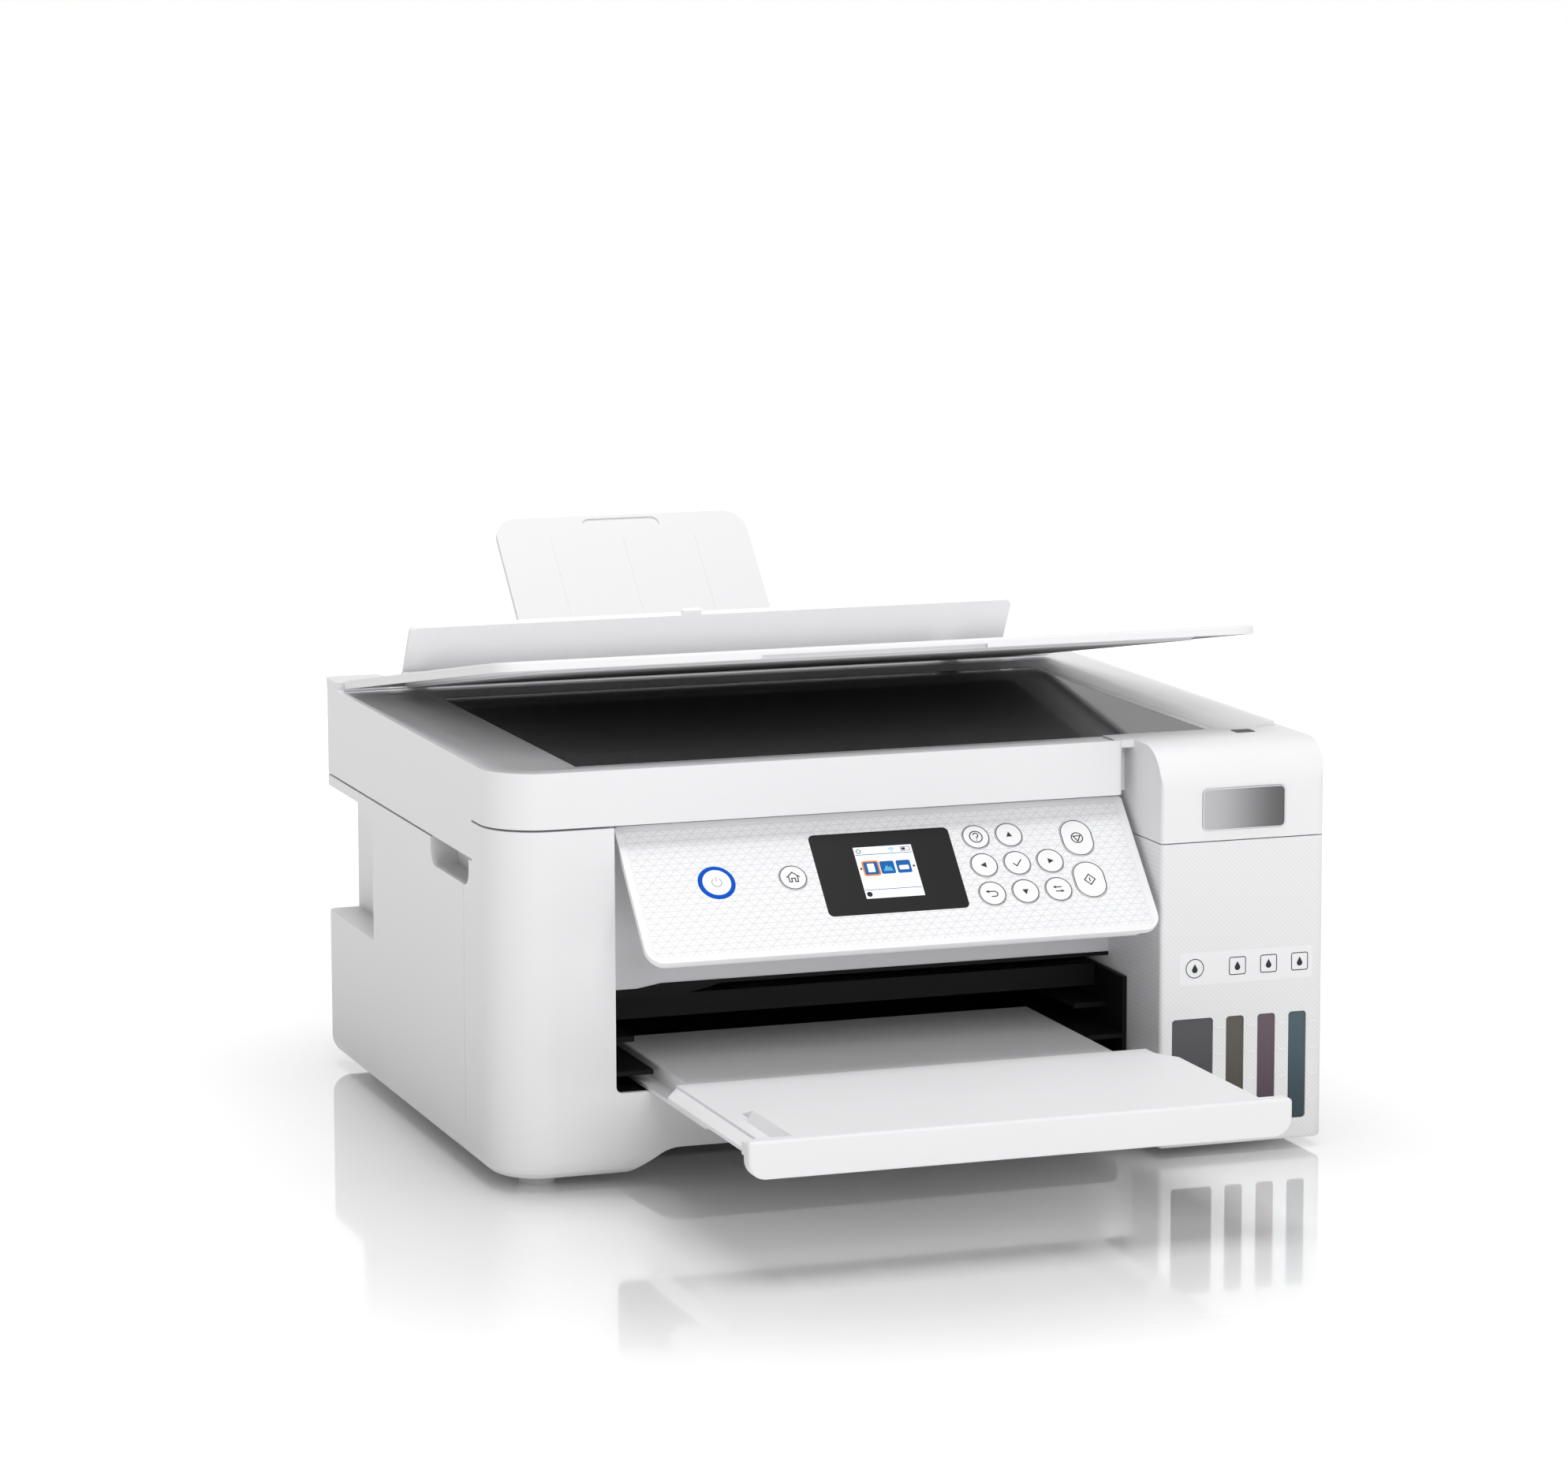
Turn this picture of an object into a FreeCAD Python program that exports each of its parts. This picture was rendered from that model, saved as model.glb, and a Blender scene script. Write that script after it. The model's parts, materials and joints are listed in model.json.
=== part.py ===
import FreeCAD, Part
import math
import os

V = FreeCAD.Vector

# Overall sizes of the printer, in millimetres. x runs to the right from the
# middle, y to the back from the front plane, z up from the table.
BODY_W = 375.0
BODY_D = 293.6
FOOT_H = 5.0
FOOT_R = 9.0
FOOT_INSET = 24.0
FOOT_TANK_Y = 2.0
WALL = 2.6
SEAM = 1.0
CASE_TOP = 141.5
UNIT_TOP = 184.4
FRONT_BAND = 24.4
STEP_Y = 38.0
COLUMN_W = 53.3
TANK_W = 79.1
TANK_FRONT = 31.0
TANK_WORKS_GAP = 12.0
CORNER_R = 25.0
REAR_CORNER_R = 6.0
BOTTOM_R = 9.0
FIT = 0.3
RUN = 0.06

# Lower case: sill, arch, notch and lift pocket.
SILL_TOP = 42.0
ARCH_Z = 16.3
ARCH_DEPTH = 70.0
ARCH_RISE_X = 21.0
ARCH_R = 18.0
ARCH_LEG = 7.0
NOTCH_DEPTH = 15.5
NOTCH_LEN = 86.1
NOTCH_Z0 = 75.4
NOTCH_Z1 = 136.5
NOTCH_R = 8.0
POCKET_Y0 = 43.0
POCKET_Y1 = 105.0
POCKET_Z = 129.2
POCKET_DEPTH = 12.0
POCKET_R = 7.0
SEAM_LINE_Y = 52.0
SEAM_LINE_W = 0.5
SEAM_LINE_FOOT = 16.0
INNER_WALL_Y = 29.5
INNER_WALL_Z = 80.0
PARTITION_TOP = 64.0
PARTITION_STEP_Y = 44.0

# Scanner unit.
GAP_W = 5.5
GAP_DEPTH = 12.0
GAP_ROOF = 3.4
BLOCK_TOP_R = 19.0
UNIT_FLOOR = 2.5
UNIT_REAR_IN = 21.6
TOWER_W = 27.5
TOWER_RISE = 3.6
LIFT_AXIS_IN = 8.0
LIFT_EAR_W = 6.0
LIFT_EAR_R = 6.0
LIFT_PIN_R = 2.5
LIFT_EAR_IN = 10.0
CAP_ROOM_Y = 26.0
GLASS_T = 3.0
GLASS_DROP = 2.4
GLASS_X0 = 45.0
GLASS_RIGHT_IN = 31.0
GLASS_Y0 = 29.0
GLASS_REAR_IN = 25.5
BED_LIP = 2.0
BED_T = 5.4
COVE_W = 24.0
COVE_RISE = 2.2
COVE_FLAT = 3.0
SCAN_BAR_W = 16.0
SCAN_BAR_HOME = 10.0
SCAN_BAR_END = 4.0
SCAN_RIB_W = 6.0
SCAN_RIB_H = 2.5

# Document lid, photographed ajar.
LID_T = 4.2
LID_LEFT = 2.0
LID_RIGHT_IN = 16.0
LID_FRONT = 1.0
LID_REAR_GAP = 7.5
LID_CORNER_R = 12.0
LID_OPEN = 9.4
LID_AXIS_IN = 1.0
LID_AXIS_Z = 188.6
LID_SHELL = 1.8
LID_LIP_W = 2.2
LID_LUG_W = 8.0
LID_LUG_R = 3.0
LID_PIN_R = 1.5
LID_EAR_T = 2.5
LID_HINGE_IN = (39.5, 65.5)
PAD_T = 1.2
PAD_SIDE = 25.0
PAD_FRONT = 19.0
GRIP_W = 105.0
GRIP_H = 1.6

# Feeder guard, photographed tipped forward.
GUARD_SIDE_GAP = 7.0
GUARD_T = 3.0
GUARD_UP = 33.5
GUARD_DOWN = 5.5
GUARD_LEAN = 30.9
GUARD_AXIS_IN = 13.4
GUARD_Z = 185.5
GUARD_PIN_R = 2.5
TAB_W = 10.0
TAB_H = 2.4

# Rear feeder: hopper plate, paper support and edge guides.
FEED_SIDE_GAP = 4.0
FEED_BEHIND = 22.4
FEED_Z0 = 98.0
FEED_TOP = 183.5
HOPPER_BEHIND = 13.4
HOPPER_Z = 181.0
HOPPER_LEAN = 45.0
HOPPER_LEN = 78.0
HOPPER_SKIN = 2.5
SUPPORT_W = 131.0
SUPPORT_T = 3.0
SUPPORT_RISE = 100.0
SUPPORT_TAIL = 15.0
SUPPORT_R = 12.0
GUIDE_GAP = 210.0
GUIDE_T = 2.5
GUIDE_H = 7.0
GUIDE_TOP = 22.0
GUIDE_FOOT = 66.0
GUIDE_BASE_W = 14.0
GUIDE_BASE_T = 1.2
GUIDE_SLOT_Z = 37.0
GUIDE_SLOT_W = 8.0

# Rear cover of the duplex path.
COVER_HALF_W = 125.0
COVER_Z0 = 40.0
COVER_Z1 = 96.0
COVER_PLUG_IN = 4.0
COVER_PLUG_D = 20.0
COVER_TAB = 9.0

# Control panel, photographed tilted out.
PANEL_TILT = 43.36
PANEL_AXIS_Y = 9.84
PANEL_AXIS_Z = 149.42
PANEL_FACE = 6.0
PANEL_ABOVE = 6.0
PANEL_LEN = 71.0
PANEL_SIDE_GAP = 2.7
PANEL_T = 2.5
PANEL_R = 8.0
SHELL_INSET = 2.6
SHELL_T = 7.4
SHELL_WALL = 1.8
PANEL_PIN_R = 1.6
PANEL_LUG_W = 4.0
PANEL_LUG_IN = 6.0
PANEL_LUG_R = 3.0
PANEL_PIN_L = 2.0
PANEL_ARM_H = 4.4
PANEL_SPAN = 237.2
SCREEN_OFF = 0.1
SCREEN_SPAN = 65.0
SCREEN_H = 42.2
SCREEN_TOP = 10.9
SCREEN_R = 2.5
SCREEN_T = 2.0
LCD_SPAN = 27.1
LCD_H = 26.8
LCD_TOP = 18.6
BUTTON_SPAN = 12.6
BUTTON_PITCH = 15.6
BUTTON_PITCH_Y = 14.95
BUTTON_OFF = 60.3
BUTTON_ROW = 32.0
BUTTON_PROUD = 0.3
BUTTON_LIP = 0.7
BUTTON_GAP = 0.15
BUTTON_FLANGE = 1.0
BUTTON_TRAVEL = 0.6
BUTTON_FIT = 0.25
HOME_OFF = -44.2
POWER_OFF = -79.1
POWER_SPAN = 12.8
RING_SPAN = 16.4
RING_SEAT = 0.8
PILL_OFF = 91.7
PILL_SPAN = 14.8
PILL_H = 19.0
PILL_TOP_ROW = 20.9
PILL_LOW_ROW = 43.1

# Ink tanks behind the front windows.
TANK_WALL = 2.4
TANK_SEAM = 0.5
WINDOW_Z0 = 14.1
WINDOW_Z1 = 62.8
WINDOW_R = 1.6
WINDOW_SET = 0.5
TANK_NAMES = ("black", "yellow", "magenta", "cyan")
WINDOW_IN = (63.5, 43.0, 27.8, 12.7)
WINDOW_W = (19.8, 8.6, 8.6, 8.6)
TANK_SIDE = 1.6
TANK_Z0 = 9.0
TANK_Z1 = 126.0
TANK_REAR_GAP = 20.0
NECK_Y = 0.0
NECK_R = 4.2
NECK_TOP = 143.4
CAP_R = 5.8
CAP_H = 5.0
CAP_LEVER_W = 5.0
CAP_AXIS_Y = 15.0
CAP_AXIS_UP = 4.0
CAP_PIN_R = 1.4
CAP_EAR_T = 1.6
CAP_EAR_GAP = 0.4

# Output tray in two stages, photographed drawn out.
TRAY_OUT = 175.0
EXT_TRAVEL = 90.0
TRAY_SIDE_GAP = 14.7
TRAY_FLANGE_W = 7.5
TRAY_FLANGE_T = 1.7
TRAY_LEN = 150.0
PLATEAU_Z = 51.2
PLATEAU_T = 2.0
EXT_LEN = 130.0
EXT_T = 2.8
EXT_SIDE_GAP = 12.8
EXT_FLANGE_W = 9.0
EXT_FLANGE_T = 1.6
EXT_FLANGE_TAPER = 16.0
FRONT_WALL_T = 6.0
FRONT_WALL_Z0 = 42.6
FRONT_WALL_Z1 = 58.8
FRONT_WALL_GAP = 1.2
FRONT_WALL_R = 8.0
FRONT_END_D = 12.0
FRONT_END_W = 5.0
STEP_D = 50.0
STEP_IN = 9.0
STEP_SLANT = 5.0
STEP_RAMP = 14.0

# Inner paper frame.
FRAME_WALL = 2.0
FRAME_FLOOR_Z = 39.0
FRAME_FLOOR_T = 2.4
FRAME_FRONT = 7.0
FRAME_BEHIND_RAIL = 28.0
FRAME_WALL_TOP = 76.0
LEDGE_LOW_Z = 48.0
LEDGE_LOW_T = 2.0
LEDGE_HIGH_Z = 58.5
LEDGE_HIGH_T = 2.4
LEDGE_W = 19.0
LEDGE_HIGH_Y = 27.0
LEDGE_END_GAP = 12.0
BAR_Y = 40.0
BAR_D = 9.0
BAR_Z = 66.0
PLATEN_D = 55.0
PLATEN_Z = 61.0
PLATEN_T = 3.0
PLATEN_RIB_H = 2.0
PLATEN_RIBS = 9

# Paper drive: rollers, gears and motor.
GEAR_MODULE = 1.0
GEAR_W = 6.0
GEAR_OFF = 4.0
FEED_TEETH = 36
IDLER_TEETH = 40
EXIT_TEETH = 24
PINION_TEETH = 12
BACKLASH = 0.08
EXIT_BEFORE_RAIL = 62.0
ROLLER_Z = 60.0
FEED_ROLLER_R = 6.0
EXIT_ROLLER_R = 5.0
JOURNAL_R = 4.0
RING_COUNT = 6
RING_LEN = 12.0
IDLER_AXLE_R = 3.0
PINION_TURN = 45.0
PINION_BORE = 1.5
MOTOR_R = 14.0
MOTOR_L = 18.0
MOTOR_PLATE_T = 1.5

# Print carriage, guide rod and belt.
CARRIAGE_W = 62.0
CARRIAGE_D = 52.0
CARRIAGE_RAIL_GAP = 8.0
CARRIAGE_Z0 = 72.0
CARRIAGE_Z1 = 126.0
CARRIAGE_HOME_IN = 40.0
HEAD_Z = 66.0
HEAD_W = 40.0
ROD_R = 4.0
ROD_BEFORE_RAIL = 18.0
ROD_Z = 92.0
RAIL_BEFORE_REAR = 121.6
RAIL_T = 2.0
RAIL_Z0 = 84.0
RAIL_Z1 = 132.0
RAIL_FLANGE = 12.0
LEG_T = 2.0
LEG_D = 30.0
BELT_Z = 112.0
BELT_T = 1.0
BELT_W = 4.0
PULLEY_R = 5.0
PULLEY_IN = 22.0
PULLEY_FLANGE = 1.2
PULLEY_AXLE_R = 1.5

# Electronics and service parts.
PSU_W = 40.0
PSU_D = 52.0
PSU_H = 42.0
INLET_W = 24.0
INLET_H = 17.0
INLET_Z = 24.0
INLET_IN = 27.5
INLET_D = 20.0
SOCKET_W = 16.0
SOCKET_H = 9.0
SOCKET_D = 12.0
BOARD_W = 66.0
BOARD_D = 104.0
BOARD_T = 1.6
STANDOFF_H = 5.0
STANDOFF_R = 3.0
USB_W = 12.0
USB_H = 10.8
USB_D = 17.0
STATION_W = 60.0
STATION_D = 42.0
STATION_GAP = 1.2
SCREW_R = 3.2
SCREW_H = 1.6
SCREW_IN = 19.5
SCREW_Z = (20.0, 60.0)

LEFT = -BODY_W / 2
RIGHT = BODY_W / 2
OPEN_L = LEFT + COLUMN_W
OPEN_R = RIGHT - TANK_W
COLUMN_TOP = UNIT_TOP - FRONT_BAND - SEAM
UNIT_Z = CASE_TOP + SEAM
BAND_Z = UNIT_TOP - FRONT_BAND
TRAY_Z = SILL_TOP + FIT
FLOOR = FOOT_H + WALL
LIFT_Y = BODY_D - LIFT_AXIS_IN
LIFT_Z = UNIT_Z + LIFT_AXIS_IN
TANK_TOP = UNIT_Z - TANK_SEAM
UNIT_REAR = BODY_D - UNIT_REAR_IN
NOTCH_FRONT = BODY_D - NOTCH_LEN
GLASS_Z = UNIT_TOP - GLASS_DROP
GLASS_W = BODY_W - GLASS_X0 - GLASS_RIGHT_IN
GLASS_D = UNIT_REAR - GLASS_Y0 - GLASS_REAR_IN
LID_W = BODY_W - LID_LEFT - LID_RIGHT_IN
LID_REAR = UNIT_REAR - LID_REAR_GAP
LID_AXIS_Y = UNIT_REAR - LID_AXIS_IN
LID_HINGE_X = (LEFT + LID_HINGE_IN[0], RIGHT - LID_HINGE_IN[1])
GUARD_W = BODY_W - 2 * (TOWER_W + GUARD_SIDE_GAP)
GUARD_Y = BODY_D - GUARD_AXIS_IN
PATH_X = (OPEN_L + OPEN_R) / 2
FEED_HALF_W = BODY_W / 2 - TOWER_W - FEED_SIDE_GAP
FEED_REAR = BODY_D + FEED_BEHIND
HOPPER_Y = BODY_D + HOPPER_BEHIND
BED_Z0 = UNIT_TOP - BED_T
LID_Z = UNIT_TOP + FIT
PANEL_L = OPEN_L + PANEL_SIDE_GAP
PANEL_R_X = OPEN_R - PANEL_SIDE_GAP
PANEL_TURN = 90.0 - PANEL_TILT
PANEL_UNIT = (PANEL_R_X - PANEL_L) / PANEL_SPAN
SCREEN_X = PATH_X + SCREEN_OFF * PANEL_UNIT
SCREEN_W = SCREEN_SPAN * PANEL_UNIT
LCD_W = LCD_SPAN * PANEL_UNIT
BUTTON_R = BUTTON_SPAN * PANEL_UNIT / 2
BUTTON_PITCH_X = BUTTON_PITCH * PANEL_UNIT
BUTTON_X = PATH_X + BUTTON_OFF * PANEL_UNIT
HOME_X = PATH_X + HOME_OFF * PANEL_UNIT
POWER_X = PATH_X + POWER_OFF * PANEL_UNIT
POWER_R = POWER_SPAN * PANEL_UNIT / 2
RING_R = RING_SPAN * PANEL_UNIT / 2
PILL_X = PATH_X + PILL_OFF * PANEL_UNIT
PILL_W = PILL_SPAN * PANEL_UNIT
WINDOW_X = tuple(RIGHT - inset for inset in WINDOW_IN)
TRAY_W = OPEN_R - OPEN_L - 2 * TRAY_SIDE_GAP
EXT_W = OPEN_R - OPEN_L - 2 * EXT_SIDE_GAP
LEAN = math.radians(HOPPER_LEAN)
SUPPORT_END = HOPPER_Y + SUPPORT_RISE * math.sin(LEAN) + (HOPPER_SKIN + FIT + SUPPORT_T) * math.cos(LEAN)
ORIGIN_Y = (SUPPORT_END - TRAY_OUT) / 2
LUG_XS = (PANEL_L + PANEL_LUG_IN, PANEL_R_X - PANEL_LUG_IN - PANEL_LUG_W)
RAIL_Y = BODY_D - RAIL_BEFORE_REAR
ROD_Y = RAIL_Y - ROD_BEFORE_RAIL
CARRIAGE_Y1 = RAIL_Y - CARRIAGE_RAIL_GAP
CARRIAGE_Y0 = CARRIAGE_Y1 - CARRIAGE_D
CARRIAGE_HOME = RIGHT - CARRIAGE_HOME_IN
TANK_BACK = CARRIAGE_Y0 - TANK_WORKS_GAP
TANK_Y1 = TANK_BACK - TANK_REAR_GAP
PLATEN_Y1 = RAIL_Y
PLATEN_Y0 = PLATEN_Y1 - PLATEN_D
EXIT_Y = RAIL_Y - EXIT_BEFORE_RAIL
FRAME_REAR = RAIL_Y + FRAME_BEHIND_RAIL
LEDGE_END_Y = EXIT_Y - LEDGE_END_GAP
INLET_X = LEFT + INLET_IN
SCREW_X = RIGHT - SCREW_IN
EAR_XS = (LEFT + LIFT_EAR_IN, RIGHT - LIFT_EAR_IN - LIFT_EAR_W)
GEAR_X1 = OPEN_L - WALL - GEAR_OFF
GEAR_X0 = GEAR_X1 - GEAR_W
IDLER_Y = EXIT_Y + GEAR_MODULE * (EXIT_TEETH + IDLER_TEETH) / 2
FEED_Y = IDLER_Y + GEAR_MODULE * (IDLER_TEETH + FEED_TEETH) / 2
PINION_REACH = GEAR_MODULE * (FEED_TEETH + PINION_TEETH) / 2
PINION_Y = FEED_Y + PINION_REACH * math.cos(math.radians(PINION_TURN))
PINION_Z = ROLLER_Z + PINION_REACH * math.sin(math.radians(PINION_TURN))
PULLEY_XS = (LEFT + PULLEY_IN, RIGHT - PULLEY_IN)
BELT_Y1 = RAIL_Y - 0.8
BELT_Y0 = BELT_Y1 - BELT_W


def box(x0, x1, y0, y1, z0, z1):
    """Box between two corners."""
    return Part.makeBox(x1 - x0, y1 - y0, z1 - z0, V(x0, y0, z0))


def rod(axis, radius, start, end, a, b):
    """Cylinder along an axis; a and b are its place on the other two axes in x, y, z order."""
    length = end - start
    if axis == "x":
        return Part.makeCylinder(radius, length, V(start, a, b), V(1, 0, 0))
    if axis == "y":
        return Part.makeCylinder(radius, length, V(a, start, b), V(0, 1, 0))
    return Part.makeCylinder(radius, length, V(a, b, start), V(0, 0, 1))


def outline(points, place):
    """Closed wire through corners (u, v, radius), rounded where the radius is above zero."""
    count = len(points)
    corners = []
    for i in range(count):
        here = V(points[i][0], points[i][1], 0)
        radius = points[i][2] if len(points[i]) > 2 else 0
        if radius == 0:
            corners.append((here, None, here))
            continue
        back = (V(points[i - 1][0], points[i - 1][1], 0) - here).normalize()
        after = points[(i + 1) % count]
        ahead = (V(after[0], after[1], 0) - here).normalize()
        half = back.getAngle(ahead) / 2
        reach = radius / math.tan(half)
        middle = here + (back + ahead).normalize() * (radius / math.sin(half) - radius)
        corners.append((here + back * reach, middle, here + ahead * reach))
    edges = []
    for i in range(count):
        start, middle, stop = corners[i]
        if middle is not None:
            edges.append(Part.Arc(place(start), place(middle), place(stop)).toShape())
        following = corners[(i + 1) % count][0]
        if stop.distanceToPoint(following) > 1e-6:
            edges.append(Part.LineSegment(place(stop), place(following)).toShape())
    return Part.Wire(edges)


def prism(points, axis, start, end):
    """Profile pushed along an axis. The profile is (y, z), (x, z) or (x, y) for x, y or z."""
    if axis == "x":
        wire = outline(points, lambda p: V(start, p.x, p.y))
        push = V(end - start, 0, 0)
    elif axis == "y":
        wire = outline(points, lambda p: V(p.x, start, p.y))
        push = V(0, end - start, 0)
    else:
        wire = outline(points, lambda p: V(p.x, p.y, start))
        push = V(0, 0, end - start)
    return Part.Face(wire).extrude(push)


def plate(x0, x1, y0, y1, z0, z1, radius):
    """Upright block with four rounded corners in plan."""
    corners = [(x0, y0, radius), (x1, y0, radius), (x1, y1, radius), (x0, y1, radius)]
    return prism(corners, "z", z0, z1)


def joined(first, *others):
    """Solids fused to one, with merged faces."""
    return first.fuse(list(others)).removeSplitter()


def less(first, *tools):
    """Solid with the tools cut away."""
    return first.cut(list(tools))


def rounded_edges(shape, radius, chosen):
    """Solid with a fillet on the edges that the test picks."""
    return shape.makeFillet(radius, [edge for edge in shape.Edges if chosen(edge)])


def turned(shape, degrees, y, z):
    """Copy turned about the x direction through a point; positive lifts the front side down."""
    copy = shape.copy()
    copy.rotate(V(0, y, z), V(1, 0, 0), degrees)
    return copy


def gear(teeth, turn, bore, y, z):
    """Spur gear across the left bay, with straight-flanked teeth."""
    pitch_r = GEAR_MODULE * teeth / 2
    root_r = pitch_r - 1.25 * GEAR_MODULE
    tip_r = pitch_r + 0.95 * GEAR_MODULE
    step = 2 * math.pi / teeth
    half_pitch = step / 4 - BACKLASH / pitch_r
    root_half = half_pitch + 0.45 * GEAR_MODULE / pitch_r
    tip_half = half_pitch - 0.42 * GEAR_MODULE / pitch_r
    points = []
    for tooth in range(teeth):
        middle = math.radians(turn) + tooth * step
        for radius, offset in ((root_r, -root_half), (tip_r, -tip_half), (tip_r, tip_half), (root_r, root_half)):
            angle = middle + offset
            points.append((y + radius * math.cos(angle), z + radius * math.sin(angle)))
    blank = prism(points, "x", GEAR_X0, GEAR_X1)
    return less(blank, rod("x", bore, GEAR_X0 - 1, GEAR_X1 + 1, y, z))


def case_outline(inset):
    """Plan of the lower case, moved in by an inset on its outer sides."""
    return [
        (LEFT + inset, BODY_D - inset, REAR_CORNER_R - min(inset, REAR_CORNER_R - 1)),
        (LEFT + inset, inset, CORNER_R - inset),
        (OPEN_R, inset),
        (OPEN_R, TANK_BACK + inset),
        (RIGHT - inset, TANK_BACK + inset),
        (RIGHT - inset, BODY_D - inset, REAR_CORNER_R - min(inset, REAR_CORNER_R - 1)),
    ]


def arch_tool(grow):
    """Space under the front sill, with an S-shaped left end."""
    x0 = OPEN_L + 3.0 - grow
    x1 = OPEN_R - ARCH_LEG + grow
    top = ARCH_Z + grow
    points = [
        (x0, FOOT_H - 4, 0),
        (x0 + 2.0, FOOT_H - 0.4, ARCH_R / 2),
        (x0 + ARCH_RISE_X, top, ARCH_R),
        (x1, top, 3.0),
        (x1, FOOT_H - 4, 0),
    ]
    return prism(points, "y", -1, ARCH_DEPTH + grow)


def notch_tool(grow):
    """Recess at the rear of the left side."""
    x1 = LEFT + NOTCH_DEPTH + grow
    plan = [
        (LEFT - 1, NOTCH_FRONT - grow),
        (x1, NOTCH_FRONT - grow, NOTCH_R),
        (x1, BODY_D + 1),
        (LEFT - 1, BODY_D + 1),
    ]
    return prism(plan, "z", NOTCH_Z0 - grow, NOTCH_Z1 + grow)


def pocket_tool(grow):
    """Finger recess for lifting the unit, open upwards."""
    face = [
        (POCKET_Y0 - grow, COLUMN_TOP + 1),
        (POCKET_Y0 - grow, POCKET_Z - grow, POCKET_R),
        (POCKET_Y1 + grow, POCKET_Z - grow, POCKET_R),
        (POCKET_Y1 + grow, COLUMN_TOP + 1),
    ]
    return prism(face, "x", LEFT - 1, LEFT + POCKET_DEPTH + grow)


def main_case():
    """Lower case: side walls, column, sill, floor, partition and hinge ears."""
    shell = prism(case_outline(0), "z", FOOT_H, COLUMN_TOP)

    def outer_bottom(edge):
        centre = edge.CenterOfMass
        flat = abs(edge.BoundBox.ZMax - FOOT_H) < 1e-6
        bay = centre.x > OPEN_R - 1 and centre.y < TANK_BACK + 1
        return flat and not bay

    shell = rounded_edges(shell, BOTTOM_R, outer_bottom)
    shell = less(shell, box(LEFT - 1, RIGHT + 1, STEP_Y, BODY_D + 1, CASE_TOP, COLUMN_TOP + 1))
    hollow = prism(case_outline(WALL), "z", FLOOR, COLUMN_TOP + 1)
    column_roof = box(LEFT, OPEN_L, 0, STEP_Y, COLUMN_TOP - WALL, COLUMN_TOP + 1)
    column_back = box(LEFT, OPEN_L, STEP_Y - WALL, STEP_Y, CASE_TOP - WALL, COLUMN_TOP + 1)
    partition = box(OPEN_L - WALL, OPEN_L, 0, BODY_D, FOOT_H, PARTITION_TOP)
    column_side = box(OPEN_L - WALL, OPEN_L, 0, PARTITION_STEP_Y, FOOT_H, COLUMN_TOP)
    hollow = less(hollow, column_roof, column_back, partition, column_side,
                  arch_tool(WALL), notch_tool(WALL), pocket_tool(WALL))
    case = less(shell, hollow, arch_tool(0), notch_tool(0), pocket_tool(0))
    opening = [
        (OPEN_L, SILL_TOP, 3.0), (OPEN_R + 1, SILL_TOP),
        (OPEN_R + 1, COLUMN_TOP + 1), (OPEN_L, COLUMN_TOP + 1),
    ]
    seam = box(LEFT - 1, LEFT + SEAM_LINE_W, SEAM_LINE_Y - SEAM_LINE_W / 2,
               SEAM_LINE_Y + SEAM_LINE_W / 2, FOOT_H + SEAM_LINE_FOOT, POCKET_Z)
    feeder_gap = box(-FEED_HALF_W - FIT, FEED_HALF_W + FIT, BODY_D - WALL - 1, BODY_D + 1,
                     FEED_Z0, CASE_TOP + 1)
    cover_gap = box(-COVER_HALF_W + COVER_PLUG_IN - FIT, COVER_HALF_W - COVER_PLUG_IN + FIT,
                    BODY_D - WALL - 1, BODY_D + 1, COVER_Z0 + COVER_PLUG_IN - FIT,
                    COVER_Z1 - COVER_PLUG_IN + FIT)
    inlet_gap = box(INLET_X - INLET_W / 2, INLET_X + INLET_W / 2, BODY_D - WALL - 1, BODY_D + 1,
                    INLET_Z, INLET_Z + INLET_H)
    usb_z = FLOOR + STANDOFF_H + BOARD_T
    usb_x = board_x0() + BOARD_W / 2
    usb_gap = box(usb_x - USB_W / 2 - FIT, usb_x + USB_W / 2 + FIT, BODY_D - WALL - 1, BODY_D + 1,
                  usb_z - FIT, usb_z + USB_H + FIT)
    bearings = [rod("x", JOURNAL_R + RUN, OPEN_L - WALL - 1, OPEN_L + 1, y, ROLLER_Z)
                for y in (FEED_Y, EXIT_Y)]
    case = less(case, prism(opening, "y", -1, WALL + 1), seam, feeder_gap, cover_gap,
                inlet_gap, usb_gap, *bearings)
    additions = [inner_front_wall(), rod("x", IDLER_AXLE_R, GEAR_X0 - 1, OPEN_L - WALL, IDLER_Y, ROLLER_Z)]
    additions += [lift_ear(x) for x in EAR_XS]
    for x, y in standoff_places():
        additions.append(rod("z", STANDOFF_R, FLOOR, FLOOR + STANDOFF_H, x, y))
    return joined(case, *additions)


def inner_front_wall():
    """White wall behind the control panel, with the panel's two hinge lugs."""
    low = INNER_WALL_Z
    face = [
        (OPEN_L, low - 2.0), (OPEN_L + 40, low - 2.0, 20), (OPEN_L + 58, low + 2.0, 20),
        (OPEN_R, low + 2.0), (OPEN_R, COLUMN_TOP - 2), (OPEN_L, COLUMN_TOP - 2),
    ]
    wall = prism(face, "y", INNER_WALL_Y, INNER_WALL_Y + WALL)
    lugs = []
    for x in LUG_XS:
        arm = box(x, x + PANEL_LUG_W, PANEL_AXIS_Y, INNER_WALL_Y + WALL / 2, PANEL_AXIS_Z - PANEL_ARM_H / 2,
                  PANEL_AXIS_Z + PANEL_ARM_H / 2)
        eye = rod("x", PANEL_LUG_R, x, x + PANEL_LUG_W, PANEL_AXIS_Y, PANEL_AXIS_Z)
        bore = rod("x", PANEL_PIN_R + RUN, x - 1, x + PANEL_LUG_W + 1, PANEL_AXIS_Y, PANEL_AXIS_Z)
        lugs.append(less(joined(arm, eye), bore))
    return joined(wall, *lugs)


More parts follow.
